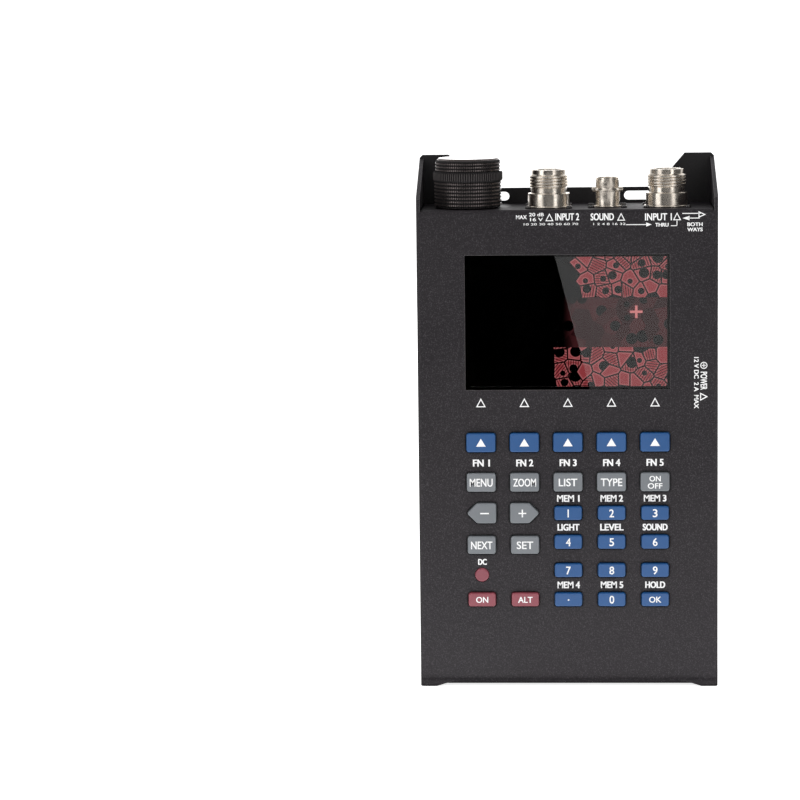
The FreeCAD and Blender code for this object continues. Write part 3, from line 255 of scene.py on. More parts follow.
class Graph:
    """A node tree with short calls for adding and joining its nodes."""

    def __init__(self, tree: bpy.types.NodeTree) -> None:
        """Work on one node tree."""
        self.tree = tree

    def add(self, kind: str, inputs: Optional[dict] = None, **settings) -> bpy.types.Node:
        """Add a node.

        Args:
            kind: Blender's type name without the ShaderNode prefix.
            inputs: socket name or number to a value or to another socket.
            settings: attributes of the node.

        Returns:
            The new node.
        """
        node = self.tree.nodes.new(kind if kind.startswith("Node") else f"ShaderNode{kind}")
        for key, value in settings.items():
            setattr(node, key, value)
        self.feed(node, inputs or {})
        return node

    def feed(self, node: bpy.types.Node, inputs: dict) -> None:
        """Set or link inputs of a node, given by name or number."""
        for key, value in inputs.items():
            self.join(node.inputs[key], value)

    def join(self, socket: Socket, value) -> None:
        """Set a socket to a constant, or link another socket to it."""
        if isinstance(value, Socket):
            self.tree.links.new(value, socket)
        elif socket.type == "RGBA" and len(value) == 3:
            socket.default_value = (*value, 1.0)
        else:
            socket.default_value = value

    def math(self, operation: str, first, second=0.0) -> Socket:
        """The result of a Math node on two sockets or numbers."""
        return self.add("Math", {0: first, 1: second}, operation=operation).outputs[0]

    def times(self, first, *others) -> Socket:
        """The product of sockets or numbers."""
        for other in others:
            first = self.math("MULTIPLY", first, other)
        return first

    def inverse(self, size) -> Socket:
        """One over a size, as the scale of a pattern."""
        return self.math("DIVIDE", 1.0, size)

    def vector(self, operation: str, first, second=BLACK) -> Socket:
        """The result of a Vector Math node: a number for DOT_PRODUCT and LENGTH, otherwise a vector."""
        node = self.add("VectorMath", {0: first, 1: second}, operation=operation)
        return node.outputs["Value" if operation in ("DOT_PRODUCT", "LENGTH") else "Vector"]

    def parts(self, vector) -> Sockets:
        """The X, Y and Z of a vector, by name."""
        return self.add("SeparateXYZ", {0: vector}).outputs

    def flat(self, x, y=0.0) -> Socket:
        """A vector in the X-Y plane."""
        return self.add("CombineXYZ", {0: x, 1: y}).outputs[0]

    def place(self, kind: str = "Object") -> Socket:
        """The place that is shaded, in one of Blender's coordinates."""
        return self.add("TexCoord").outputs[kind]

    def noise(self, place, scale, **inputs) -> Socket:
        """Noise between 0 and 1."""
        return self.add("TexNoise", {"Vector": place, "Scale": scale, **inputs}).outputs["Fac"]

    def span(self, value, low: float, high: float, to_low=0.0, to_high=1.0) -> Socket:
        """Map a value smoothly from one range to another."""
        inputs = {"Value": value, "From Min": low, "From Max": high, "To Min": to_low, "To Max": to_high}
        return self.add("MapRange", inputs, interpolation_type="SMOOTHSTEP").outputs["Result"]

    def blend(self, factor, first, second) -> Socket:
        """Mix two colours."""
        node = self.add("Mix", data_type="RGBA")
        for key, value in (("Factor_Float", factor), ("A_Color", first), ("B_Color", second)):
            self.join(next(s for s in node.inputs if s.identifier == key), value)
        return next(s for s in node.outputs if s.identifier == "Result_Color")


@dataclass(frozen=True)
class Port:
    """One input or output of a shared effect."""

    name: str
    value: object = None
    kind: str = "Float"


class Effect:
    """A shader node group that is made once and shared by the finishes."""

    name = "effect"
    inputs: tuple[Port, ...] = ()
    outputs: tuple[Port, ...] = ()

    def tree(self) -> bpy.types.NodeTree:
        """The node group, made on first use."""
        found = bpy.data.node_groups.get(self.name)
        if found:
            return found
        group = bpy.data.node_groups.new(self.name, "ShaderNodeTree")
        for ports, side in ((self.inputs, "INPUT"), (self.outputs, "OUTPUT")):
            for port in ports:
                kind = f"NodeSocket{port.kind}"
                socket = group.interface.new_socket(name=port.name, in_out=side, socket_type=kind)
                if port.value is not None:
                    socket.default_value = port.value
        graph = Graph(group)
        given = graph.add("NodeGroupInput").outputs
        graph.feed(graph.add("NodeGroupOutput"), self.wire(graph, given))
        return group

    def wire(self, graph: Graph, given: Sockets) -> Sockets:
        """Join the nodes between the inputs and the outputs, which are returned by name."""
        raise NotImplementedError

    def use(self, graph: Graph, **inputs) -> Sockets:
        """Add the group to a material's tree and return its outputs."""
        return graph.add("Group", inputs, node_tree=self.tree()).outputs


class FineGrain(Effect):
    """Orange-peel height and light specks of a powder coat or a moulded texture."""

    name = "fine_grain"
    inputs = (Port("Size", 0.0006),)
    outputs = (Port("Height"), Port("Speck"))
    finer = 1.9

    def wire(self, graph: Graph, given: Sockets) -> Sockets:
        """Noise for the peel and brighter tops of a finer one for the specks."""
        place, scale = graph.place(), graph.inverse(given["Size"])
        fine = graph.noise(place, graph.times(scale, self.finer), Detail=1.0)
        return {"Height": graph.noise(place, scale, Detail=3.0), "Speck": graph.span(fine, 0.5, 0.72)}


class Crests(Effect):
    """Mask of the raised lands of a ribbed form, read from its points; outside it the grooves are painted as
    shade.
    """

    name = "crests"
    outputs = (Port("Mask"),)

    def wire(self, graph: Graph, given: Sockets) -> Sockets:
        """Sharpen the stored value a little."""
        stored = graph.add("Attribute", attribute_name=CREST, attribute_type="GEOMETRY").outputs["Fac"]
        return {"Mask": graph.span(stored, 0.35, 0.75)}


class Unevenness(Effect):
    """Broad soft patches, as handling and moulding leave on a surface."""

    name = "unevenness"
    inputs = (Port("Size", 0.03),)
    outputs = (Port("Amount"),)

    def wire(self, graph: Graph, given: Sockets) -> Sockets:
        """One low noise, opened up to the full range."""
        noise = graph.noise(graph.place(), graph.inverse(given["Size"]), Detail=4.0, Roughness=0.55)
        return {"Amount": graph.span(noise, 0.3, 0.7)}


class EdgeWearAndHighlight(Effect):
    """Softened edges: the rounded normal and a mask of where the surface turns, which lightens edges both as
    wear and as a painted highlight.
    """

    name = "edge_wear_and_highlight"
    inputs = (Port("Radius", 0.0003), Port("Breakup", 0.4))
    outputs = (Port("Normal", kind="Vector"), Port("Mask"))
    breakup_scale = 900.0

    def wire(self, graph: Graph, given: Sockets) -> Sockets:
        """Compare the rounded normal with the true one and break the mask up with noise."""
        soft = graph.add("Bevel", {"Radius": given["Radius"]}, samples=6).outputs["Normal"]
        true = graph.add("NewGeometry").outputs["Normal"]
        turn = graph.span(graph.vector("DOT_PRODUCT", soft, true), 0.99, 0.8)
        noise = graph.noise(graph.place(), self.breakup_scale, Detail=3.0)
        patchy = graph.span(noise, 0.35, 0.65, graph.math("SUBTRACT", 1.0, given["Breakup"]), 1.0)
        return {"Normal": soft, "Mask": graph.times(turn, patchy)}


class CreviceShade(Effect):
    """Mask of painted shade where other pieces stand close by and keep the light out."""

    name = "crevice_painted_shade"
    inputs = (Port("Reach", 0.001), Port("Depth", 0.9))
    outputs = (Port("Mask"),)

    def wire(self, graph: Graph, given: Sockets) -> Sockets:
        """Turn the nearby cover into a mask of painted shade."""
        painted_occlusion_shade = graph.add("AmbientOcclusion", {"Distance": given["Reach"]}, samples=8).outputs["AO"]
        return {"Mask": graph.times(graph.span(painted_occlusion_shade, 0.97, 0.62), given["Depth"])}


class TurningMarks(Effect):
    """Fine rings that a lathe leaves round an upright axis."""

    name = "turning_marks"
    inputs = (Port("Pitch", 0.00012), Port("Centre", BLACK, "Vector"))
    outputs = (Port("Height"),)

    def wire(self, graph: Graph, given: Sockets) -> Sockets:
        """Noise along the profile, the same all round the axis."""
        local = graph.parts(graph.vector("SUBTRACT", graph.place(), given["Centre"]))
        reach = graph.vector("LENGTH", graph.flat(local["X"], local["Y"]))
        along = graph.math("DIVIDE", graph.math("ADD", local["Z"], reach), given["Pitch"])
        return {"Height": graph.noise(graph.flat(along), 1.0, Detail=2.0)}


class SheetGrain(Effect):
    """Long fine scratches of rolled or brushed sheet metal."""

    name = "sheet_grain"
    inputs = (Port("Size", 0.0004),)
    outputs = (Port("Height"),)
    stretch = (0.04, 1.0, 1.0)

    def wire(self, graph: Graph, given: Sockets) -> Sockets:
        """Noise stretched along X."""
        long = graph.vector("MULTIPLY", graph.place(), self.stretch)
        return {"Height": graph.noise(long, graph.inverse(given["Size"]), Detail=4.0)}


class BoardTraces(Effect):
    """Mask of copper tracks and pads under a circuit board's mask."""

    name = "board_traces"
    inputs = (Port("Size", 0.004),)
    outputs = (Port("Tracks"), Port("Pads"))

    def wire(self, graph: Graph, given: Sockets) -> Sockets:
        """Angular cell edges as tracks and dots as pads."""
        kind = {"Vector": graph.place(), "Scale": graph.inverse(given["Size"]), "Randomness": 0.75}
        edges = graph.add("TexVoronoi", kind, feature="DISTANCE_TO_EDGE").outputs["Distance"]
        dots = graph.add("TexVoronoi", kind, feature="F1").outputs["Distance"]
        return {"Tracks": graph.span(edges, 0.09, 0.05), "Pads": graph.span(dots, 0.16, 0.13)}


class ScreenPlot(Effect):
    """The picture on the display: hatched cells in two bands, dimmer ones between them, and a marker."""

    name = "screen_plot"
    inputs = (
        Port("Fill", (0.26, 0.04, 0.046, 1.0), "Color"), Port("Line", (0.36, 0.1, 0.105, 1.0), "Color"),
        Port("Dim", (0.06, 0.014, 0.016, 1.0), "Color"), Port("Marker", (0.62, 0.2, 0.2, 1.0), "Color"),
    )
    outputs = (Port("Picture", kind="Color"),)

    cell_mm = 5.4
    dim_cell_mm = 5.8
    dim_shift_mm = (37.0, 11.0, 0.0)
    hatch_mm = 1.0
    marker_mm = (28.0, 3.9)
    # Left end and the range of the cells' middles, for the upper and the lower band.
    bands_mm = ((5.0, 9.0, 29.0), (-6.5, -29.0, -9.5))
    # Between these two heights the picture is dimmer, and it starts at the left over this range.
    dim_mm = (-10.5, 9.8)
    dim_start_mm = (-2.0, 4.0)
    ragged_mm = 5.0
    dim_least = 0.35
    share_whole = 0.42
    share_plain = 0.5
    # Radius of a hole, in shares of a cell; half length and half width of the marker's arms.
    hole_share = (0.2, 0.44)
    arm_mm = (2.7, 0.6)

    def cells(self, graph: Graph, place, size: float) -> Sockets:
        """A mosaic of cells, some hatched and some with a round hole.

        Args:
            graph: where the nodes go.
            place: socket with the place in millimetres.
            size: width of a cell.

        Returns:
            Masks of what is filled, of the light lines in it and of the cells without their holes;
            then the cells' middles and their lot.
        """
        kind = {"Vector": place, "Scale": 1.0 / size, "Randomness": 0.9}
        cell = graph.add("TexVoronoi", kind, voronoi_dimensions="2D", feature="F1").outputs
        edges = graph.add("TexVoronoi", kind, voronoi_dimensions="2D", feature="DISTANCE_TO_EDGE")
        joint = edges.outputs["Distance"]
        lot = graph.add("SeparateColor", {0: cell["Color"]}).outputs
        hole = graph.span(lot["Green"], 0.0, 1.0, *self.hole_share)
        from_hole = graph.math("SUBTRACT", cell["Distance"], hole)
        whole = graph.math("LESS_THAN", lot["Red"], self.share_whole)
        solid = graph.math("MAXIMUM", graph.span(from_hole, -0.02, 0.02), whole)
        slant = {"Vector": place, "Angle": graph.times(lot["Green"], math.tau)}
        row = graph.parts(graph.add("VectorRotate", slant, rotation_type="Z_AXIS").outputs[0])["X"]
        hatch = graph.span(graph.math("PINGPONG", row, self.hatch_mm / 2), 0.08, 0.2)
        drawn = graph.math("MAXIMUM", hatch, graph.math("LESS_THAN", lot["Blue"], self.share_plain))
        filled = graph.times(graph.span(joint, 0.04, 0.08), solid, drawn)
        rim = graph.times(graph.span(from_hole, 0.09, 0.05), graph.math("SUBTRACT", 1.0, whole))
        light = graph.times(graph.math("MAXIMUM", graph.span(joint, 0.16, 0.12), rim), filled)
        return {
            "filled": filled, "light": light, "solid": solid, "middle": cell["Position"],
            "lot": lot["Green"],
        }

    def band(self, graph: Graph, cell: Sockets, left: float, low: float, high: float) -> Socket:
        """Mask of the cells whose middles lie in a band, with a ragged left end."""
        middle = graph.parts(cell["middle"])
        ragged = graph.math("ADD", graph.times(cell["lot"], self.ragged_mm), left - self.ragged_mm / 2)
        return graph.times(
            graph.math("GREATER_THAN", middle["X"], ragged), graph.math("GREATER_THAN", middle["Y"], low),
            graph.math("LESS_THAN", middle["Y"], high),
        )

    def wire(self, graph: Graph, given: Sockets) -> Sockets:
        """Lay out the bands in millimetres from the middle of the screen."""
        place = graph.parts(graph.place("Generated"))
        across, up = (
            graph.times(graph.math("SUBTRACT", place[axis], 0.5), size)
            for axis, size in zip("XZ", PICTURE_MM)
        )
        flat, (low, high) = graph.flat(across, up), self.dim_mm
        cell = self.cells(graph, flat, self.cell_mm)
        top, foot = (self.band(graph, cell, *band) for band in self.bands_mm)
        top = graph.times(top, graph.math("GREATER_THAN", up, high))
        foot = graph.times(foot, graph.math("LESS_THAN", up, low))
        bands = graph.math("MAXIMUM", top, foot)
        fine = self.cells(graph, graph.vector("ADD", flat, self.dim_shift_mm), self.dim_cell_mm)
        tone = graph.span(fine["lot"], 0.1, 0.9, self.dim_least, 1.0)
        dim = graph.times(
            fine["solid"], tone, graph.span(across, *self.dim_start_mm),
            graph.math("GREATER_THAN", up, low), graph.math("LESS_THAN", up, high),
        )
        picture = graph.blend(dim, BLACK, given["Dim"])
        picture = graph.blend(graph.times(bands, cell["filled"]), picture, given["Fill"])
        picture = graph.blend(graph.times(bands, cell["light"]), picture, given["Line"])
        return {"Picture": graph.blend(self.cross(graph, across, up), picture, given["Marker"])}

    def cross(self, graph: Graph, across, up) -> Socket:
        """Mask of the marker, an upright cross."""
        sides = [
            graph.math("ABSOLUTE", graph.math("SUBTRACT", place, middle))
            for place, middle in zip((across, up), self.marker_mm)
        ]
        long, wide = self.arm_mm
        arms = [
            graph.times(graph.span(along, long, long - 0.3), graph.span(beside, wide, wide - 0.2))
            for along, beside in (sides, sides[::-1])
        ]
        return graph.math("MAXIMUM", *arms)


# ------------------------------------------------------------------ finishes


def new_material(name: str) -> tuple[Material, Graph, bpy.types.Node]:
    """A material with the graph of its nodes and its surface shader."""
    material = bpy.data.materials.new(name)
    material.use_nodes = True
    return material, Graph(material.node_tree), material.node_tree.nodes["Principled BSDF"]


@dataclass(frozen=True)
class Finish:
    """A procedural finish: colour and roughness with their spread, grain, edges lightened as wear and as a
    painted highlight, and painted shade by close pieces.
    """

    name: str
    colour: Triple
    patch: Triple
    roughness: float
    spread: float = 0.08
    metallic: float = 0.0
    specular: float = 0.5
    coat: float = 0.0
    grain_mm: float = 0.5
    grain_high_mm: float = 0.01
    speck: float = 0.0
    speck_colour: Triple = (0.2, 0.2, 0.2)
    edge_mm: float = 0.25
    edge_colour: Triple = (0.2, 0.2, 0.2)
    edge_share: float = 0.3
    patch_mm: float = 30.0
    # Reach of the painted shade that darkens colour and specular where other pieces stand close by.
    crevice_shade_mm: float = 0.0

    def build(self) -> Material:
        """Make the material."""
        material, graph, surface = new_material(self.name)
        material.diffuse_color = (*self.colour, 1.0)
        graph.feed(surface, self.inputs(graph))
        return material

    def height(self, graph: Graph) -> Socket:
        """The height that the bump follows."""
        return FineGrain().use(graph, Size=self.grain_mm * MM)["Height"]

    def uneven(self, graph: Graph) -> Socket:
        """The amount of the broad patches."""
        return Unevenness().use(graph, Size=self.patch_mm * MM)["Amount"]

    def base(self, graph: Graph, uneven: Socket, wear_and_highlight: Socket) -> Socket:
        """The base colour from the patches, specks and edges lightened as wear and as a painted highlight."""
        colour = graph.blend(uneven, self.colour, self.patch)
        if self.speck:
            speck = FineGrain().use(graph, Size=self.grain_mm * MM)["Speck"]
            colour = graph.blend(graph.times(speck, self.speck), colour, self.speck_colour)
        return graph.blend(graph.times(wear_and_highlight, self.edge_share), colour, self.edge_colour)

    def inputs(self, graph: Graph) -> dict:
        """What goes into the surface shader, by the names of its inputs."""
        uneven = self.uneven(graph)
        wear_and_highlight = EdgeWearAndHighlight().use(graph, Radius=self.edge_mm * MM)
        relief = {"Height": self.height(graph), "Distance": self.grain_high_mm * MM, "Normal": wear_and_highlight["Normal"]}
        colour, specular = self.base(graph, uneven, wear_and_highlight["Mask"]), self.specular
        # Painted shade: where other pieces stand close by, the colour goes towards black and the specular
        # down.
        if self.crevice_shade_mm:
            painted_occlusion_shade = CreviceShade().use(graph, Reach=self.crevice_shade_mm * MM)["Mask"]
            colour = graph.blend(painted_occlusion_shade, colour, BLACK)
            specular = graph.span(painted_occlusion_shade, 0.0, 1.0, self.specular, 0.0)
        low, high = self.roughness - self.spread, self.roughness + self.spread
        return {
            "Base Color": colour, "Roughness": graph.span(uneven, 0.0, 1.0, low, high),
            "Metallic": self.metallic, "Specular IOR Level": specular, "Coat Weight": self.coat,
            "Normal": graph.add("Bump", relief).outputs["Normal"],
        }


@dataclass(frozen=True)
class TurnedMetal(Finish):
    """Plated metal with lathe marks round an upright axis."""

    centre: Triple = BLACK

    def height(self, graph: Graph) -> Socket:
        """Rings round the part's own axis."""
        return TurningMarks().use(graph, Centre=self.centre)["Height"]


@dataclass(frozen=True)
class SheetMetal(Finish):
    """Plated or brushed sheet."""

    def height(self, graph: Graph) -> Socket:
        """Fine scratches along the sheet."""
        return SheetGrain().use(graph, Size=self.grain_mm * MM)["Height"]


@dataclass(frozen=True)
class RibbedGrip(Finish):
    """Anodised metal, bright on its ribs, dark and dull in its grooves as painted shade, with a polished top
    face.
    """

    # Colour of the lands; the grooves keep the dark base colour as painted shade.
    crest: Triple = (0.2, 0.2, 0.2)
    shaded_groove_roughness: float = 0.8
    top_roughness: float = 0.06

    def inputs(self, graph: Graph) -> dict:
        """Let the lands shine as metal, leave the grooves dark and dull as painted shade, and polish what
        looks up.
        """
        inputs = super().inputs(graph)
        land = Crests().use(graph)["Mask"]
        rough = graph.span(land, 0.0, 1.0, self.shaded_groove_roughness, inputs["Roughness"])
        up = graph.parts(graph.add("NewGeometry").outputs["True Normal"])["Z"]
        return {
            **inputs, "Base Color": graph.blend(land, inputs["Base Color"], self.crest), "Metallic": land,
            "Roughness": graph.span(up, 0.9, 0.98, rough, self.top_roughness),
        }


@dataclass(frozen=True)
class Board(Finish):
    """Solder mask over copper tracks, with tinned pads."""

    track: Triple = (0.05, 0.3, 0.12)
    pad: Triple = (0.7, 0.7, 0.66)

    def base(self, graph: Graph, uneven: Socket, wear_and_highlight: Socket) -> Socket:
        """Tracks and pads over the mask colour."""
        traces = BoardTraces().use(graph)
        colour = graph.blend(uneven, self.colour, self.patch)
        colour = graph.blend(traces["Tracks"], colour, self.track)
        return graph.blend(traces["Pads"], colour, self.pad)


@dataclass(frozen=True)
class ClearWindow(Finish):
    """Clear polished plastic that shows what lies behind it."""

    ior: float = 1.49

    def inputs(self, graph: Graph) -> dict:
        """Glass with a faint uneven tint."""
        return {
            "Base Color": graph.blend(self.uneven(graph), self.colour, self.patch),
            "Roughness": self.roughness, "Metallic": 0.0, "Transmission Weight": 1.0, "IOR": self.ior,
        }


@dataclass(frozen=True)
class Display(Finish):
    """A dark display that shows its picture."""

    def inputs(self, graph: Graph) -> dict:
        """Add the picture to the dark glass."""
        picture = ScreenPlot().use(graph)["Picture"]
        return {**super().inputs(graph), "Emission Color": picture, "Emission Strength": 1.0}


@dataclass(frozen=True)
class TintedLens(Finish):
    """A lamp lens, a little translucent."""

    glow: Triple = (0.1, 0.0, 0.0)
    glow_patch_mm: float = 4.0
    strength: float = 0.12

    def inputs(self, graph: Graph) -> dict:
        """Add the light that comes through the lens."""
        uneven = Unevenness().use(graph, Size=self.glow_patch_mm * MM)["Amount"]
        glow = graph.blend(uneven, self.glow, self.colour)
        return {**super().inputs(graph), "Emission Color": glow, "Emission Strength": self.strength}


def grey(tone: float) -> Triple:
    """A neutral colour."""
    return (tone, tone, tone)


def key_finish(name: str, colour: Triple, patch: Triple, edge: Triple) -> Finish:
    """The satin moulding of a key cap, its rims lightened as a painted highlight."""
    return Finish(
        name, colour, patch, 0.42, 0.06, grain_mm=0.35, grain_high_mm=0.008, edge_mm=0.3, edge_colour=edge,
        edge_share=0.45,
    )


FINISHES: dict[str, Finish] = {
    # edge_colour lightens the edges of each finish, partly as wear and partly as a painted highlight.
    "case": Finish(
        "powder_coat", (0.0113, 0.0088, 0.0115), (0.0137, 0.0109, 0.0135), 0.5, 0.05, specular=0.26,
        grain_mm=0.85, grain_high_mm=0.14, speck=0.5, speck_colour=(0.07, 0.062, 0.07),
        # crevice_shade_mm gives the case painted shade round the keys and other close pieces.
        edge_mm=0.4, edge_colour=(0.24, 0.23, 0.235), edge_share=0.8, patch_mm=60.0, crevice_shade_mm=1.1,
    ),
    "cover": Finish(
        "cover_coat", (0.0125, 0.0115, 0.0125), (0.0155, 0.0143, 0.0152), 0.5, 0.05, specular=0.3,
        grain_high_mm=0.03, speck=0.25, speck_colour=(0.04, 0.04, 0.042), edge_mm=0.3,
        edge_colour=(0.07, 0.07, 0.072), edge_share=0.5, patch_mm=60.0,
    ),
    # The light edges of the dark screws are partly wear and partly painted glints.
    "black_screw": Finish(
        "black_oxide", (0.09, 0.088, 0.09), (0.13, 0.122, 0.118), 0.26, metallic=1.0,
        grain_mm=0.25, edge_mm=0.12, edge_colour=(0.5, 0.48, 0.45), edge_share=0.6,
    ),
    "window": ClearWindow("clear_window", (0.97, 0.98, 0.98), (0.94, 0.95, 0.95), 0.0),
    "foam": Finish(
        "foam", (0.02, 0.02, 0.021), (0.035, 0.035, 0.036), 0.95, 0.03, grain_mm=0.3,
        grain_high_mm=0.08, speck=0.5, speck_colour=grey(0.07), edge_mm=0.1, edge_share=0.0,
    ),
    "lcd": Finish(
        "display_module", (0.015, 0.015, 0.018), (0.02, 0.02, 0.024), 0.2, 0.05, coat=0.3,
        grain_mm=0.8, grain_high_mm=0.002, edge_mm=0.2, edge_colour=grey(0.3),
    ),
    "steel_sheet": SheetMetal(
        "zinc_sheet", (0.52, 0.52, 0.54), (0.44, 0.45, 0.48), 0.32, metallic=1.0, grain_mm=0.3,
        grain_high_mm=0.006, edge_mm=0.15, edge_colour=(0.75, 0.75, 0.76),
    ),
    "silicone": Finish(
        "silicone", (0.05, 0.05, 0.054), (0.065, 0.064, 0.068), 0.75, 0.06, grain_mm=0.4,
        grain_high_mm=0.012, edge_mm=0.3, edge_colour=grey(0.1),
    ),
    "circuit_board": Board(
        "solder_mask", (0.012, 0.13, 0.05), (0.016, 0.16, 0.065), 0.3, coat=0.4, grain_mm=0.6,
        grain_high_mm=0.006, edge_mm=0.1,
    ),
    "lamp_lens": TintedLens(
        "lamp_lens", (0.225, 0.048, 0.068), (0.265, 0.062, 0.086), 0.42, grain_mm=0.3, edge_mm=0.2,
        edge_colour=(0.55, 0.2, 0.25),
    ),
    "black_plastic": Finish(
        "moulded_black", (0.02, 0.02, 0.021), (0.028, 0.028, 0.03), 0.5, grain_mm=0.3, edge_mm=0.2,
        edge_colour=grey(0.08),
    ),
    "battery_wrap": Finish(
        "heat_shrink", (0.03, 0.11, 0.28), (0.045, 0.15, 0.34), 0.35, 0.1, coat=0.25,
        grain_mm=3.0, grain_high_mm=0.12, edge_mm=0.4, edge_colour=(0.2, 0.3, 0.45),
    ),
    "nickel": TurnedMetal(
        "nickel_plate", (0.84, 0.77, 0.68), (0.66, 0.595, 0.52), 0.22, 0.06, metallic=1.0,
        grain_high_mm=0.006, edge_mm=0.12, edge_colour=(0.85, 0.82, 0.78), patch_mm=4.0,
    ),
    "insulator": Finish(
        "fluoropolymer", (0.8, 0.79, 0.75), (0.72, 0.71, 0.66), 0.45, edge_mm=0.15,
        edge_colour=(0.9, 0.9, 0.88),
    ),
    "gold_contact": Finish(
        "gold_plate", (0.8, 0.58, 0.22), (0.7, 0.5, 0.2), 0.22, 0.06, metallic=1.0, grain_mm=0.2,
        grain_high_mm=0.004, edge_mm=0.08, edge_colour=(0.95, 0.8, 0.45),
    ),
    "knob": RibbedGrip(
        "knob_grip", (0.005, 0.0036, 0.0043), (0.008, 0.006, 0.0066), 0.3, 0.06, grain_mm=0.25,
        grain_high_mm=0.004, edge_mm=0.05, edge_colour=(0.04, 0.033, 0.033), crest=(0.18, 0.154, 0.15),
    ),
    "blue_key": key_finish("blue_key", (0.005, 0.072, 0.235), (0.0075, 0.081, 0.255), (0.14, 0.27, 0.52)),
    "grey_key": key_finish("grey_key", (0.17, 0.184, 0.201), (0.185, 0.199, 0.216), (0.45, 0.47, 0.5)),
    "red_key": key_finish("red_key", (0.255, 0.05, 0.071), (0.28, 0.06, 0.081), (0.6, 0.28, 0.32)),
}
WHITE_INK = Finish(
    "white_ink", WHITE, grey(0.96), 0.55, grain_mm=0.3, grain_high_mm=0.006, edge_mm=0.02,
    edge_colour=grey(0.85),
)
PICTURE = Display(
    "screen_picture", grey(0.0002), grey(0.0004), 0.6, 0.05, specular=0.0, grain_high_mm=0.0,
    edge_share=0.0,
)


# ---------------------------------------------------------------- glyph prints


@dataclass(frozen=True)
class Text:
    """One printed word: its middle, cap height, width and added stroke width in millimetres."""

    words: str
    across: float
    up: float
    cap: float
    wide: float
    weight: float = 0.26
    plane: Plane = Plane.FACE


def glyphs(words: str) -> tuple[list[Pair], list[tuple[int, ...]]]:
    """Outlines of a word as flat points and faces, in the font's own units."""
    curve = bpy.data.curves.new("glyphs", "FONT")
    curve.body = words
    curve.offset = GLYPH_OFFSET
    curve.resolution_u = GLYPH_STEPS
    item = bpy.data.objects.new("glyphs", curve)
    bpy.context.scene.collection.objects.link(item)
    depsgraph = bpy.context.evaluated_depsgraph_get()
    mesh = bpy.data.meshes.new_from_object(item.evaluated_get(depsgraph))
    points = [(v.co.x, v.co.y) for v in mesh.vertices]
    faces = [tuple(p.vertices) for p in mesh.polygons]
    bpy.data.objects.remove(item)
    bpy.data.curves.remove(curve)
    bpy.data.meshes.remove(mesh)
    return points, faces


class Ink:
    """Flat printed marks on a surface that faces -Y, drawn in millimetres."""

    thick_mm = 0.03
    layer_mm = 0.003
    # How far each layer of a word is moved across and up, in shares of the weight.
    layers = ((-0.5, -0.2), (-0.5, 0.2), (0.5, 0.2), (0.5, -0.2), (0.0, 0.0))
    rise_share = 0.4
    # The print's thickness in Blender, a little less than the lift, so that it stays off the surface.
    solid_share = 0.9
    ring_steps = 24

    def __init__(self) -> None:
        """Start with nothing printed."""
        self.points: list[Triple] = []
        self.faces: list[tuple[int, ...]] = []

    def shape(self, *points: Pair) -> None:
        """A filled outline."""
        start = len(self.points)
        self.points += [(u, v, 0.0) for u, v in points]
        self.faces.append(tuple(range(start, start + len(points))))

    def bar(self, across: float, up: float, wide: float, high: float) -> None:
        """A filled rectangle about its middle."""
        left, right = across - wide / 2, across + wide / 2
        low, top = up - high / 2, up + high / 2
        self.shape((left, low), (right, low), (right, top), (left, top))

    def loop(self, outer: Sequence[Pair], inner: Sequence[Pair]) -> None:
        """The band between two outlines with as many corners."""
        for i in range(len(outer)):
            j = (i + 1) % len(outer)
            self.shape(outer[i], outer[j], inner[j], inner[i])

    def triangle(self, across: float, low: float, wide: float, high: float, line: float) -> None:
        """A triangle that points up, drawn as a line."""
        outer = [(across - wide / 2, low), (across + wide / 2, low), (across, low + high)]
        middle = low + high / 3
        scale = 1 - line / (high / 3)
        self.loop(outer, [(across + (x - across) * scale, middle + (z - middle) * scale) for x, z in outer])

    def ring(self, across: float, up: float, outer: float, inner: float) -> None:
        """A ring about its middle, from its radii."""
        turns = evenly(self.ring_steps)
        self.loop(*(
            [(across + r * math.cos(t), up + r * math.sin(t)) for t in turns] for r in (outer, inner)
        ))

    def word(self, text: Text) -> None:
        """A word, fitted to its cap height and width, in layers a little apart for its weight."""
        points, faces = glyphs(text.words)
        left, right = min(p[0] for p in points), max(p[0] for p in points)
        low, top = min(p[1] for p in points), max(p[1] for p in points)
        wide, cap = text.wide - text.weight, text.cap - text.weight * self.rise_share
        for layer, (side, lift) in enumerate(self.layers):
            start = len(self.points)
            for u, v in points:
                along = ((u - left) / (right - left) - 0.5) * wide + side * text.weight
                rise = ((v - low) / (top - low) - 0.5) * cap + lift * text.weight
                if text.plane is Plane.SIDEWAYS:
                    along, rise = rise, -along
                self.points.append((text.across + along, text.up + rise, layer * self.layer_mm))
            self.faces += [tuple(start + i for i in face) for face in faces]

    def build(self, name: str, body: str, surface: float, finish: Material) -> Item:
        """Make the print.

        Args:
            name: name of the piece.
            body: CAD body that it rides.
            surface: y of the surface that it lies on, in metres.
            finish: its material.

        Returns:
            The new object.
        """
        y = surface - self.thick_mm * MM
        points = [(u * MM, y - lift * MM, v * MM) for u, v, lift in self.points]
        item = mesh_object(name, points, self.faces, smooth=False)
        thick = item.modifiers.new("thickness", "SOLIDIFY")
        thick.thickness = self.thick_mm * MM * self.solid_share
        thick.offset = -1.0
        item.data.materials.append(finish)
        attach(item, body)
        LOG.info("built %s", name)
        return item


# -------------------------------------------------------------------- pieces


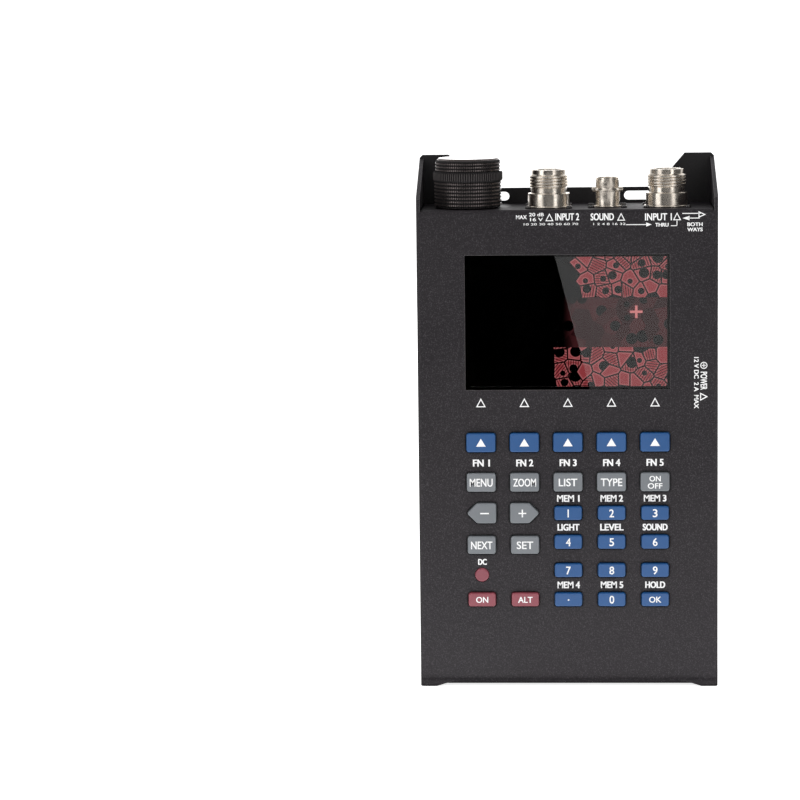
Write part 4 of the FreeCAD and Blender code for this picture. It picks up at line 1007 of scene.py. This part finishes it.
class Finisher:
    """Makes each finish once and puts it on CAD nodes and pieces."""

    def __init__(self) -> None:
        """Read which node takes which slot of the record."""
        self.slots = {row["node"]: row["material_slot"] for row in frame["record"]["subparts"]}
        self.made: dict[str, Material] = {}

    def material(self, finish: Finish) -> Material:
        """The material of a finish."""
        if finish.name not in self.made:
            self.made[finish.name] = finish.build()
        return self.made[finish.name]

    def put(self, item: Item, finish: Finish) -> None:
        """Give an object one finish."""
        item.data.materials.clear()
        item.data.materials.append(self.material(finish))

    def dress_nodes(self) -> None:
        """Give every CAD node the finish of its slot."""
        for name, item in frame["nodes"].items():
            self.put(item, FINISHES[self.slots[name]])
            LOG.info("dressed %s as %s", name, self.slots[name])


def axis_of(node: str, level: float = PANEL) -> Vector:
    """The upright middle line of a node, at a height in metres."""
    low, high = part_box(node)
    return Vector(((low.x + high.x) / 2, (low.y + high.y) / 2, level))


def front_of(node: str) -> Vector:
    """The middle of a node's front side, in metres."""
    low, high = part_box(node)
    return Vector(((low.x + high.x) / 2, low.y, (low.z + high.z) / 2))


@dataclass
class Piece:
    """A form that stands for CAD nodes and rides one body."""

    name: str
    nodes: tuple[str, ...]
    body: str

    def adopt(self, item: Item, finisher: Finisher, finish: Optional[Finish] = None) -> Item:
        """Dress the new form and let it take the nodes' place."""
        slot = finisher.slots[self.nodes[0]]
        finisher.put(item, finish or FINISHES[slot])
        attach(item, self.body)
        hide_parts(*self.nodes)
        LOG.info("built %s for %s", self.name, ", ".join(self.nodes))
        return item


@dataclass
class GripKnob(Piece):
    """The tuning knob: ribbed and grooved skirt, wider serrated band and chamfered top."""

    gap: float = 0.5
    radius: float = 13.7
    band_low: float = 11.0
    band_high: float = 15.1
    band_slope: float = 0.7
    band: float = 14.2
    band_shine: float = 0.48
    slope_share: float = 0.9
    seam: float = 0.01
    top: float = 20.4
    edge_drop: float = 1.4
    rim: float = 12.0
    rim_lead: float = 0.1
    rim_edge: float = 0.12
    skin: float = 0.4
    hollow: float = 8.5
    hollow_high: float = 8.0
    bore: float = 3.02
    bore_high: float = 16.6
    rib_pitch: float = 1.44
    rib_deep: float = 0.45
    upper_pitch: float = 1.3
    upper_inset: float = 0.35
    groove_deep: float = 0.4
    serration_deep: float = 0.5
    teeth: int = 90
    ribs: Ribbing = Ribbing(0.4, 0.62)
    grooves: Ribbing = Ribbing(0.6, 0.8)
    serrations: Ribbing = Ribbing(0.35, 0.8)
    sharp_degrees: float = 28.0

    def inside_band(self, z: float) -> float:
        """How far a height lies inside the serrated band; negative outside it."""
        return min(z - self.band_low, self.band_high - z)

    def rib(self, z: float) -> float:
        """How deep the ribs are cut at a height outside the band, from 0 to 1."""
        if z <= self.band_low:
            return self.ribs.depth((self.band_low - z) / self.rib_pitch)
        return self.ribs.depth((z - self.band_high) / self.upper_pitch)

    def wall(self, z: float) -> float:
        """Radius of the outside at a height above the panel, without grooves."""
        if z <= self.band_low:
            return self.radius - self.rib_deep * self.rib(z)
        if z < self.band_high:
            rise = min(1.0, self.inside_band(z) / self.band_slope)
            return self.radius + (self.band - self.radius) * rise
        return self.radius - self.upper_inset - self.rib_deep * self.rib(z)

    def shape(self, r: float, z: float, angle: float) -> Pair:
        """Cut the grooves and serrations into the outside."""
        if r < self.rim + self.skin or z > self.top - self.edge_drop:
            return 0.0, 0.0
        pitches = self.teeth * angle / math.tau
        if self.inside_band(z) > 0.0:
            return -self.serration_deep * self.serrations.depth(pitches), 0.0
        return -self.groove_deep * self.grooves.depth(pitches), 0.0

    def crest(self, r: float, z: float, angle: float) -> float:
        """How much of a land a point of the outside is; the rest takes the painted shade of the grooves."""
        if r < self.rim + self.skin:
            return 1.0
        pitches = self.teeth * angle / math.tau
        if self.inside_band(z) <= 0.0:
            return (1.0 - self.rib(z)) * (1.0 - self.grooves.depth(pitches))
        sloping = self.inside_band(z) < self.band_slope * self.slope_share
        return 0.0 if sloping else self.band_shine * (1.0 - self.serrations.depth(pitches))

    def outline(self) -> list[Pair]:
        """The closed profile."""
        edge = self.top - self.edge_drop
        skirt = self.ribs.corners((self.band_low - self.gap) / self.rib_pitch)
        side = [self.band_low - self.rib_pitch * place for place in reversed(skirt)]
        side += [self.band_low, self.band_low + self.seam, self.band_low + self.band_slope]
        side += [self.band_high - self.band_slope, self.band_high - self.seam, self.band_high]
        upper = self.ribs.corners((edge - self.band_high) / self.upper_pitch)
        side += [self.band_high + self.upper_pitch * place for place in upper]
        return [
            (self.hollow, self.gap), (self.radius - self.rib_deep, self.gap),
            *((self.wall(z), z) for z in side),
            (self.radius - self.upper_inset, edge), (self.rim + self.rim_lead, self.top - self.rim_edge),
            (self.rim - self.rim_edge, self.top), (0.0, self.top), (0.0, self.bore_high),
            (self.bore, self.bore_high), (self.bore, self.hollow_high), (self.hollow, self.hollow_high),
        ]

    def angles(self) -> list[float]:
        """The bends of the grooves and of the serrations, round the axis."""
        bends = {*self.grooves.corners(1.0), *self.serrations.corners(1.0)}
        return [math.tau * (k + bend) / self.teeth for k in range(self.teeth) for bend in sorted(bends)]

    def build(self, finisher: Finisher) -> Item:
        """Make and dress the knob."""
        outline, angles = self.outline(), self.angles()
        item = mesh_object(self.name, *turned(outline, angles, axis_of(self.nodes[0]), self.shape))
        item.data.set_sharp_from_angle(angle=math.radians(self.sharp_degrees))
        crest = item.data.attributes.new(CREST, "FLOAT", "POINT")
        crest.data.foreach_set("value", [self.crest(r, z, angle) for angle in angles for r, z in outline])
        return self.adopt(item, finisher)


@dataclass
class Connector(Piece):
    """A turned socket with a square flange under the panel."""

    wall: float = 1.6
    flange: float = 11.0
    plate: float = 2.5
    plate_gap: float = 0.02
    segments: int = 256

    def outline(self) -> list[Pair]:
        """The closed profile."""
        raise NotImplementedError

    def shape(self, r: float, z: float, angle: float) -> Pair:
        """What is added to the outline at an angle."""
        return 0.0, 0.0

    def extras(self, centre: Vector) -> list[Form]:
        """Forms beside the turned one and the flange."""
        return []

    def build(self, finisher: Finisher) -> Item:
        """Make the socket and dress it in nickel, with the lathe marks about its own axis."""
        centre, half = axis_of(self.nodes[0]), self.flange
        low = centre + Vector((-half, -half, -self.wall - self.plate)) * MM
        high = centre + Vector((half, half, -self.wall - self.plate_gap)) * MM
        body = turned(self.outline(), evenly(self.segments), centre, self.shape)
        form = joined([body, box_form(low, high), *self.extras(centre)])
        axis = (centre.x, centre.y, 0.0)
        nickel = replace(FINISHES["nickel"], name=f"nickel_{self.name}", centre=axis)
        return self.adopt(mesh_object(self.name, *form), finisher, nickel)


@dataclass
class TestPort(Connector):
    """A female threaded test port."""

    corner: float = 0.28
    tail: float = 4.75
    tail_long: float = 4.5
    base: float = 8.5
    base_high: float = 5.8
    lip: float = 9.2
    lip_high: float = 0.6
    neck: float = 7.3
    root: float = 7.15
    root_skin: float = 0.15
    crest: float = 7.94
    first: float = 8.85
    pitch: float = 1.25
    turns: float = 3.0
    start_turn: float = 0.75
    steep: float = 3.0
    run_out: float = 0.7
    fade: float = 0.4
    step: float = 0.05
    slope: float = 0.1
    nose: float = 7.0
    top: float = 15.4
    bore: float = 4.2
    mouth: float = 1.3
    mouth_foot: float = 1.1
    mouth_deep: float = 0.45
    mouth_edge: float = 0.35

    def outline(self) -> list[Pair]:
        """The closed profile, with many points where the thread is cut."""
        low = -(self.wall + self.plate + self.tail_long)
        start = self.first - self.run_out
        end = self.first + self.turns * self.pitch + self.run_out + self.step
        floor = self.top - self.mouth_deep
        corners = [
            (self.bore, low), (self.tail, low), (self.tail, -self.wall), (self.base, -self.wall),
            (self.base, 0.0), (self.lip, 0.0), (self.lip, self.lip_high), (self.base, self.lip_high),
            (self.base, self.base_high), (self.neck, self.base_high), (self.neck, start - self.slope),
            (self.root, start), (self.root, end), (self.nose, end + self.slope), (self.nose, self.top),
            (self.bore + self.mouth, self.top), (self.bore + self.mouth_foot, floor),
            (self.bore + self.mouth_edge, floor), (self.bore, floor - self.mouth_edge),
        ]
        return refined(rounded(corners, self.corner), start - self.step, end + self.step, self.step)

    def shape(self, r: float, z: float, angle: float) -> Pair:
        """Raise the thread along its helix, faded out at both ends."""
        start, end = self.first - self.run_out, self.first + self.turns * self.pitch + self.run_out
        if r < self.root - self.root_skin or not start <= z <= end:
            return 0.0, 0.0
        phase = (z - self.first) / self.pitch - angle / math.tau + self.start_turn
        tooth = min(1.0, self.steep * (1 - 2 * abs(phase - round(phase))))
        fade = min(1.0, (z - start) / self.fade, (end - z) / self.fade)
        return (self.crest - self.root) * tooth * max(0.0, fade), 0.0


@dataclass
class AudioSocket(Connector):
    """The bayonet socket with its collar, groove and two lugs."""

    flange: float = 8.75
    plate: float = 2.0
    segments: int = 128
    corner: float = 0.2
    base: float = 5.1
    tail: float = 4.7
    lip: float = 5.8
    lip_high: float = 0.6
    collar: float = 5.25
    collar_low: float = 6.4
    collar_high: float = 7.7
    collar_slope: float = 0.9
    groove: float = 4.6
    groove_high: float = 8.3
    barrel: float = 4.8
    nose_inset: float = 0.15
    nose_long: float = 0.7
    nose_slope: float = 0.2
    top: float = 12.0
    bore: float = 4.05
    bore_lead: float = 0.12
    bore_edge: float = 0.3
    lug: float = 1.0
    lug_sunk: float = 0.2
    lug_reach: float = 6.3
    lug_high: float = 7.0
    lug_corner: float = 0.15
    lug_segments: int = 32

    def outline(self) -> list[Pair]:
        """The closed profile."""
        low, nose = -self.wall - self.plate, self.barrel - self.nose_inset
        nose_low = self.top - self.nose_long
        corners = [
            (self.bore, low), (self.tail, low), (self.tail, -self.wall), (self.base, -self.wall),
            (self.base, 0.0), (self.lip, 0.0), (self.lip, self.lip_high), (self.base, self.lip_high),
            (self.base, self.collar_low), (self.collar, self.collar_low),
            (self.collar, self.collar_high - self.collar_slope), (self.groove, self.collar_high),
            (self.groove, self.groove_high), (self.barrel, self.groove_high),
            (self.barrel, nose_low - self.nose_slope), (nose, nose_low), (nose, self.top),
            (self.bore + self.bore_lead, self.top), (self.bore, self.top - self.bore_edge),
        ]
        return rounded(corners, self.corner)

    def extras(self, centre: Vector) -> list[Form]:
        """The two bayonet lugs."""
        start, reach = self.bore + self.lug_sunk, self.lug_reach
        profile = [(0.0, start), (self.lug, start), (self.lug, reach), (0.0, reach)]
        lug = turned(rounded(profile, self.lug_corner), evenly(self.lug_segments), Vector())
        place = Matrix.Translation(centre + Vector((0.0, 0.0, self.lug_high * MM)))
        return [moved(lug, place @ Matrix.Rotation(sign * math.pi / 2, 4, "Y")) for sign in (-1.0, 1.0)]


@dataclass
class ScrewSet(Piece):
    """Identical pan-head screws with a cross recess, one mesh for the whole set."""

    head: float = 1.6
    head_high: float = 1.4
    shank: float = 1.0
    shank_long: float = 4.0
    tip_share: float = 0.8
    tip_long: float = 0.3
    cross: float = 0.28
    cross_reach: float = 0.95
    cross_deep: float = 0.55
    # Side of the head, in shares of its radius and height; then how flat rings make up its top.
    dome: tuple[Pair, ...] = ((1.0, 0.35), (0.93, 0.66), (0.78, 0.88))
    dome_from: float = 0.6
    rings: int = 10
    rings_reach: float = 1.08
    crown: float = 0.06
    turn_each: float = 0.7
    backwards: bool = False
    segments: int = 72

    def places(self) -> list[Vector]:
        """The middles of the screw seats."""
        raise NotImplementedError

    def shape(self, r: float, z: float, angle: float) -> Pair:
        """Sink the cross into the top of the head."""
        if z < self.head_high * self.dome_from or r > self.cross_reach:
            return 0.0, 0.0
        inside = min(abs(r * math.cos(angle)), abs(r * math.sin(angle))) < self.cross
        return 0.0, -self.cross_deep if inside else 0.0

    def outline(self) -> list[Pair]:
        """The closed profile of one screw, its head in rings for the recess."""
        shares = [k / self.rings for k in range(self.rings, -1, -1)]
        reach = self.cross_reach * self.rings_reach
        return [
            (0.0, -self.shank_long), (self.shank * self.tip_share, -self.shank_long),
            (self.shank, -self.shank_long + self.tip_long), (self.shank, 0.0), (self.head, 0.0),
            *((self.head * r, self.head_high * z) for r, z in self.dome),
            *((reach * t, self.head_high * (1 - self.crown * t ** 2)) for t in shares),
        ]

    def build(self, finisher: Finisher) -> Item:
        """Make and dress the whole set."""
        screw = turned(self.outline(), evenly(self.segments), Vector(), self.shape)
        tip = Matrix.Rotation(-math.pi / 2, 4, "X") if self.backwards else Matrix.Identity(4)
        moves = [
            Matrix.Translation(place) @ tip @ Matrix.Rotation(self.turn_each * i, 4, "Z")
            for i, place in enumerate(self.places())
        ]
        return self.adopt(mesh_object(self.name, *joined(moved(screw, m) for m in moves)), finisher)


@dataclass
class ConnectorScrews(ScrewSet):
    """Four screws round each connector, on the panel."""

    head: float = 1.3
    head_high: float = 1.1
    cross: float = 0.24
    cross_reach: float = 0.8
    cross_deep: float = 0.4
    port_half: float = 8.3
    audio_half: float = 6.6

    def places(self) -> list[Vector]:
        """Corners of the squares about the three connector axes."""
        halves = {
            "port_1_shell": self.port_half, "port_2_shell": self.port_half,
            "audio_socket_shell": self.audio_half,
        }
        return [
            axis_of(node) + Vector((x * half, y * half, 0.0)) * MM
            for node, half in halves.items() for x in (-1, 1) for y in (-1, 1)
        ]


@dataclass
class CoverScrews(ScrewSet):
    """Two columns of screws through the back cover."""

    head: float = 2.75
    head_high: float = 1.6
    shank: float = 1.5
    shank_long: float = 3.1
    cross: float = 0.42
    cross_reach: float = 1.6
    cross_deep: float = 0.9
    backwards: bool = True
    across: float = 54.9
    low: float = 16.0
    pitch: float = 56.0
    rows: int = 4
    rear: float = 20.0

    def places(self) -> list[Vector]:
        """Seats on the back plate, from the lowest up."""
        return [
            Vector((x * self.across, self.rear, self.low + i * self.pitch)) * MM
            for x in (-1, 1) for i in range(self.rows)
        ]


@dataclass
class Screen:
    """The picture of the display, just in front of the module."""

    lift: float = 0.05

    def build(self, finisher: Finisher) -> Item:
        """Lay the picture on the module and let it show through the window."""
        middle = front_of("lcd_panel") - Vector((0.0, self.lift * MM, 0.0))
        half_wide, half_high = (size / 2 * MM for size in PICTURE_MM)
        item = sheet("screen_picture", [
            middle + Vector((across * half_wide, 0.0, up * half_high))
            for across, up in ((-1, -1), (1, -1), (1, 1), (-1, 1))
        ])
        finisher.put(item, PICTURE)
        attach(item, "chassis")
        LOG.info("built screen_picture")
        return item


@dataclass
class FacePrint:
    """White legends on the face of the case."""

    columns: tuple[float, ...] = (-35.3, -17.6, 0.1, 17.8, 35.45)
    # Legends above the digit keys: height of the row, and each word with its width.
    rows: tuple[tuple[float, tuple[tuple[str, float], ...]], ...] = (
        (78.25, (("MEM 1", 9.2), ("MEM 2", 9.2), ("MEM 3", 9.2))),
        (66.3, (("LIGHT", 9.0), ("LEVEL", 9.6), ("SOUND", 10.2))),
        (42.35, (("MEM 4", 9.2), ("MEM 5", 9.2), ("HOLD", 8.2))),
    )
    row_cap: float = 2.8
    words: tuple[Text, ...] = (
        Text("DC", -35.2, 52.0, 2.5, 3.6), Text("MAX", -18.3, 193.4, 1.6, 4.4, 0.08),
        Text("20 dB", -12.2, 194.4, 1.4, 6.0, 0.06), Text("16 V", -12.2, 192.4, 1.4, 5.2, 0.06),
        Text("INPUT 2", 0.2, 193.4, 2.9, 9.6, 0.12), Text("SOUND", 14.3, 193.3, 2.9, 9.4, 0.14),
        Text("INPUT 1", 36.9, 193.1, 2.9, 10.8, 0.12), Text("THRU", 38.3, 189.9, 1.5, 5.4, 0.12),
        Text("BOTH", 51.6, 190.0, 1.5, 6.2, 0.12), Text("WAYS", 51.6, 187.9, 1.5, 6.2, 0.12),
        Text("10 20 30 40 50 60 70", -6.4, 190.5, 0.9, 22.0, 0.0),
        Text("1 2 4 8 16 32", 17.2, 190.4, 0.9, 13.0, 0.0),
        Text("12 V DC  2 A  MAX", 52.2, 125.6, 1.9, 21.0, 0.12, Plane.SIDEWAYS),
        Text("POWER", 55.2, 126.4, 2.7, 7.4, 0.1, Plane.SIDEWAYS),
    )
    # Low edge, width, height and line of the triangles; then the soft keys' words without their number.
    soft_mark: tuple[float, ...] = (116.0, 4.0, 3.7, 0.42)
    port_mark: tuple[float, ...] = (191.7, 3.3, 3.2, 0.36)
    port_marks: tuple[float, ...] = (-7.0, 21.9, 44.4)
    soft_word: Text = Text("FN", 0.0, 93.0, 2.9, 7.0)
    power_mark: Pair = (55.2, 132.7)
    power_ring: Pair = (1.45, 1.1)
    power_plus: Pair = (1.7, 0.35)
    # Lines beside the port labels: middle, width and height.
    bars: tuple[tuple[float, ...], ...] = (
        (28.0, 190.05, 8.2, 0.32), (43.2, 189.5, 2.6, 0.3), (44.35, 190.5, 0.3, 2.1),
        (50.2, 194.4, 7.4, 0.35), (51.2, 192.5, 4.6, 0.35),
    )
    # Filled arrowheads, then outlined ones: the last of these ends the power legend.
    heads: tuple[tuple[Pair, ...], ...] = (
        ((32.0, 189.2), (34.2, 190.05), (32.0, 190.9)), ((49.4, 191.6), (49.4, 193.4), (46.6, 192.5)),
    )
    open_heads: tuple[tuple[tuple[Pair, ...], tuple[Pair, ...]], ...] = (
        (((53.0, 192.6), (56.0, 193.9), (53.0, 195.3)), ((53.4, 193.2), (55.1, 193.9), (53.4, 194.7))),
        (((53.7, 121.6), (53.7, 118.2), (56.9, 119.9)), ((54.1, 120.9), (54.1, 118.9), (56.0, 119.9))),
    )

    def build(self, finisher: Finisher) -> Item:
        """Print everything that is on the face."""
        ink = Ink()
        for i, x in enumerate(self.columns):
            ink.triangle(x, *self.soft_mark)
            ink.word(replace(self.soft_word, words=f"{self.soft_word.words} {i + 1}", across=x))
        for up, words in self.rows:
            for x, (word, wide) in zip(self.columns[2:], words):
                ink.word(Text(word, x, up, self.row_cap, wide))
        for text in self.words:
            ink.word(text)
        for x in self.port_marks:
            ink.triangle(x, *self.port_mark)
        self.draw(ink)
        surface = front_of("front_shell").y
        return ink.build("face_print", "chassis", surface, finisher.material(WHITE_INK))

    def draw(self, ink: Ink) -> None:
        """Draw the lines and arrowheads, and the ringed plus of the power legend."""
        for bar in self.bars:
            ink.bar(*bar)
        for size in (self.power_plus, self.power_plus[::-1]):
            ink.bar(*self.power_mark, *size)
        for head in self.heads:
            ink.shape(*head)
        for outer, inner in self.open_heads:
            ink.loop(outer, inner)
        ink.ring(*self.power_mark, *self.power_ring)


@dataclass
class KeyPrint:
    """White legends on the key caps; each rides its own key."""

    # Key, word, cap height and width.
    words: tuple[tuple[str, str, float, float], ...] = (
        ("menu_key_1", "MENU", 3.3, 9.4), ("menu_key_2", "ZOOM", 3.3, 9.4),
        ("menu_key_3", "LIST", 3.2, 7.6), ("menu_key_4", "TYPE", 3.2, 8.8),
        ("marker_key", "NEXT", 3.2, 8.8), ("level_key", "SET", 3.2, 6.8),
        ("power_key", "ON", 2.5, 5.0), ("shift_key", "ALT", 2.5, 6.0), ("enter_key", "OK", 2.5, 5.0),
    ) + tuple((f"digit_key_{n}", str(n), 3.3, 0.5 if n == 1 else 1.95) for n in range(10))
    signs: tuple[tuple[str, Sign], ...] = tuple((f"soft_key_{n}", Sign.ARROW) for n in range(1, 6)) + (
        ("minus_key", Sign.MINUS), ("plus_key", Sign.PLUS), ("point_key", Sign.POINT),
    )
    lines: tuple[Text, ...] = (
        Text("ON", 0.0, 1.45, 2.3, 4.6, 0.08), Text("OFF", 0.0, -1.55, 2.3, 6.0, 0.08),
    )
    weight: float = 0.1
    line: float = 0.55
    arrow: tuple[Pair, ...] = ((-1.95, -1.5), (1.95, -1.5), (0.0, 1.75))
    point: float = 0.6
    point_drop: float = 0.1
    # How far the minus and the plus stand off the middle, their length, and the plus's upright arms.
    minus_shift: float = 1.25
    minus_long: float = 3.6
    plus_shift: float = -1.0
    plus_long: float = 3.2
    arm_rise: float = 0.94
    arm_long: float = 1.33

    def build(self, finisher: Finisher) -> None:
        """Print every key."""
        for key, words, cap, wide in self.words:
            self.print_on(key, finisher, [Text(words, 0.0, 0.0, cap, wide, self.weight)])
        self.print_on("menu_key_5", finisher, self.lines)
        for key, sign in self.signs:
            self.print_on(key, finisher, [], sign)

    def print_on(
        self, key: str, finisher: Finisher, texts: Iterable[Text], sign: Optional[Sign] = None
    ) -> None:
        """Print words or a sign in the middle of a key."""
        front = front_of(key)
        x, z = front.x / MM, front.z / MM
        ink = Ink()
        for text in texts:
            ink.word(replace(text, across=x + text.across, up=z + text.up))
        if sign:
            self.draw(ink, sign, x, z)
        ink.build(f"print_{key}", key, front.y, finisher.material(WHITE_INK))

    def draw(self, ink: Ink, sign: Sign, x: float, z: float) -> None:
        """Draw a sign; minus and plus stand off the pointed end of their keys."""
        if sign is Sign.ARROW:
            ink.shape(*((x + across, z + up) for across, up in self.arrow))
        elif sign is Sign.POINT:
            ink.bar(x, z - self.point_drop, self.point, self.point)
        elif sign is Sign.MINUS:
            ink.bar(x + self.minus_shift, z, self.minus_long, self.line)
        else:
            x += self.plus_shift
            ink.bar(x, z, self.plus_long, self.line)
            for rise in (self.arm_rise, -self.arm_rise):
                ink.bar(x, z + rise, self.line, self.arm_long)


# --------------------------------------------------------------------- stage


@dataclass(frozen=True)
class Card:
    """A flat card that only reflections see, or also what is seen through glass."""

    name: str
    corners: tuple[Triple, ...]
    light: float
    seen_through_glass: bool = False

    def build(self) -> Item:
        """Make the card."""
        item = sheet(self.name, self.corners)
        material, graph, surface = new_material(self.name)
        graph.feed(surface, {
            "Base Color": BLACK, "Specular IOR Level": 0.0, "Emission Color": WHITE,
            "Emission Strength": self.light,
        })
        item.data.materials.append(material)
        item.visible_camera = False
        item.visible_diffuse = False
        item.visible_shadow = False
        item.visible_transmission = self.seen_through_glass
        return item


def lying(near: float, far: float, height: float, ends: Sequence[float]) -> tuple[Triple, ...]:
    """Corners of a card that lies flat.

    Args:
        near: y of the edge away from the object.
        far: y of the edge towards the object.
        height: how high it lies.
        ends: x of the left and right end of the near edge, then of the right and left end of the far one.

    Returns:
        The four corners.
    """
    return tuple((x, y, height) for x, y in zip(ends, (near, near, far, far)))


def standing(azimuth: float, away: float, wide: float, low: float, high: float) -> tuple[Triple, ...]:
    """Corners of an upright card that faces the object.

    Args:
        azimuth: degrees from -Y towards +X.
        away: distance from the object's axis.
        wide: width of the card.
        low: height of its lower edge.
        high: height of its upper edge.

    Returns:
        The four corners.
    """
    turn = math.radians(azimuth)
    middle = Vector((math.sin(turn), -math.cos(turn), 0.0)) * away
    side = Vector((math.cos(turn), math.sin(turn), 0.0)) * wide / 2
    left, right = middle - side, middle + side
    return tuple((end.x, end.y, z) for end, z in ((left, low), (right, low), (right, high), (left, high)))


@dataclass(frozen=True)
class Lamp:
    """A soft rectangular lamp aimed at the object."""

    name: str
    place: Triple
    wide: float
    high: float
    watts: float

    def build(self, target: Vector) -> Item:
        """Make the lamp."""
        data = bpy.data.lights.new(self.name, "AREA")
        data.shape = "RECTANGLE"
        data.size, data.size_y = self.wide, self.high
        data.energy = self.watts
        item = bpy.data.objects.new(self.name, data)
        item.location = self.place
        item.rotation_mode = "QUATERNION"
        item.rotation_quaternion = (target - Vector(self.place)).to_track_quat("-Z", "Y")
        item.visible_camera = False
        bpy.context.scene.collection.objects.link(item)
        return item


@dataclass
class Studio:
    """Floor, surroundings, lamps, reflection cards and camera."""

    camera_place: Triple = (0.0, -1.2895, 0.2871)
    pitch: float = 7.526
    yaw: float = -3.079
    roll: float = -0.681
    lens: float = 141.45
    sensor: float = 36.0
    clip: Pair = (0.05, 300.0)
    target: Triple = (0.0, 0.0, 0.12)
    sky: float = 0.7
    sky_gloss: float = 0.08
    backdrop: float = 1.0
    floor_half: float = 60.0
    floor_front: float = -12.0
    floor_far: float = 160.0
    floor_tone: float = 0.86
    floor_lift: float = 0.8
    lamps: tuple[Lamp, ...] = (
        Lamp("lamp_left", (-1.15, -1.0, 1.0), 0.9, 2.0, 8.5),
        Lamp("lamp_right", (0.95, -1.25, 1.0), 0.6, 2.0, 5.5),
        Lamp("lamp_top", (0.0, -0.3, 1.6), 1.4, 1.2, 3.0),
        Lamp("lamp_back", (0.0, 1.5, 0.33), 1.6, 0.45, 5.2),
    )
    cards: tuple[Card, ...] = (
        Card("card_floor", lying(-2.3, -0.9, 0.002, (-1.3, -0.0195, 0.0173, -1.3)), 0.0, True),
        Card("card_side", lying(-2.3, -0.9, 0.002, (-0.0195, 0.8, 0.8, 0.0173)), 0.64, True),
        Card("card_foot", lying(-0.24, -0.022, 0.003, (-0.5, 0.5, 0.5, -0.5)), 2.8),
        Card("card_front", standing(0.0, 2.6, 1.6, 0.0, 0.4), 0.36),
        Card("card_high", standing(0.0, 2.6, 2.6, 0.4, 2.2), 0.0),
        Card("card_right", standing(78.0, 1.2, 1.0, 0.0, 1.2), 0.1),
        Card("card_left", standing(-102.0, 1.2, 0.9, 0.0, 1.2), 0.1),
    )

    def build(self) -> None:
        """Set the whole stage."""
        self.build_floor()
        self.build_world()
        for lamp in self.lamps:
            lamp.build(Vector(self.target))
        for card in self.cards:
            card.build()
        self.build_camera()
        bpy.context.scene.view_settings.view_transform = "Standard"
        LOG.info("built the stage")

    def build_floor(self) -> None:
        """A pale floor that reaches past the picture; the camera sees it lifted to white."""
        half, front, far = self.floor_half, self.floor_front, self.floor_far
        item = sheet("floor", [(-half, front, 0.0), (half, front, 0.0), (half, far, 0.0), (-half, far, 0.0)])
        material, graph, surface = new_material("floor")
        seen = graph.add("LightPath").outputs["Is Camera Ray"]
        graph.feed(surface, {
            "Base Color": grey(self.floor_tone), "Roughness": 0.9, "Specular IOR Level": 0.0,
            "Emission Color": WHITE, "Emission Strength": graph.times(seen, self.floor_lift),
        })
        item.data.materials.append(material)

    def build_world(self) -> None:
        """White to the camera and behind the object, softer as light and in front of it."""
        world = bpy.data.worlds.new("surroundings")
        world.use_nodes = True
        graph = Graph(world.node_tree)
        ray = graph.add("LightPath").outputs
        straight = graph.math("MAXIMUM", ray["Is Camera Ray"], ray["Is Transmission Ray"])
        glossy = ray["Is Glossy Ray"]
        behind = graph.times(graph.span(graph.parts(graph.place("Generated"))["Y"], 0.2, 0.6), glossy)
        soft = graph.span(glossy, 0.0, 1.0, self.sky, self.sky_gloss)
        shown = graph.math("MAXIMUM", straight, graph.times(behind, self.backdrop))
        light = {"Color": WHITE, "Strength": graph.span(shown, 0.0, 1.0, soft, 1.0)}
        graph.feed(world.node_tree.nodes["Background"], light)
        bpy.context.scene.world = world

    def build_camera(self) -> None:
        """The camera, from its place and its three angles."""
        pitch, yaw, roll = (math.radians(angle) for angle in (self.pitch, self.yaw, self.roll))
        ahead = Vector((math.sin(yaw), math.cos(yaw), 0.0))
        right = Vector((math.cos(yaw), -math.sin(yaw), 0.0))
        up = Vector((0.0, 0.0, 1.0))
        forward = ahead * math.cos(pitch) - up * math.sin(pitch)
        upright = up * math.cos(pitch) + ahead * math.sin(pitch)
        side = right * math.cos(roll) + upright * math.sin(roll)
        top = upright * math.cos(roll) - right * math.sin(roll)
        data = bpy.data.cameras.new("camera")
        data.lens = self.lens
        data.sensor_width = self.sensor
        data.clip_start, data.clip_end = self.clip
        item = bpy.data.objects.new("camera", data)
        rows = [(side[i], top[i], -forward[i], self.camera_place[i]) for i in range(3)]
        item.matrix_world = Matrix((*rows, (0.0, 0.0, 0.0, 1.0)))
        bpy.context.scene.collection.objects.link(item)
        bpy.context.scene.camera = item


# ---------------------------------------------------------------------- main


def main() -> None:
    """Dress the frame, build the finer forms and set the stage."""
    logging.basicConfig(level=logging.INFO, format="%(name)s: %(message)s")
    finisher = Finisher()
    finisher.dress_nodes()
    GripKnob("knob_grip", ("tuning_knob",), "knob").build(finisher)
    TestPort("port_1_body", ("port_1_shell",), "chassis").build(finisher)
    TestPort("port_2_body", ("port_2_shell",), "chassis").build(finisher)
    AudioSocket("audio_socket_body", ("audio_socket_shell",), "chassis").build(finisher)
    ConnectorScrews("connector_screw_heads", ("connector_screws",), "chassis").build(finisher)
    CoverScrews("cover_screw_heads", ("cover_screws",), "chassis").build(finisher)
    Screen().build(finisher)
    FacePrint().build(finisher)
    KeyPrint().build(finisher)
    Studio().build()


if __name__ == "__main__":
    main()
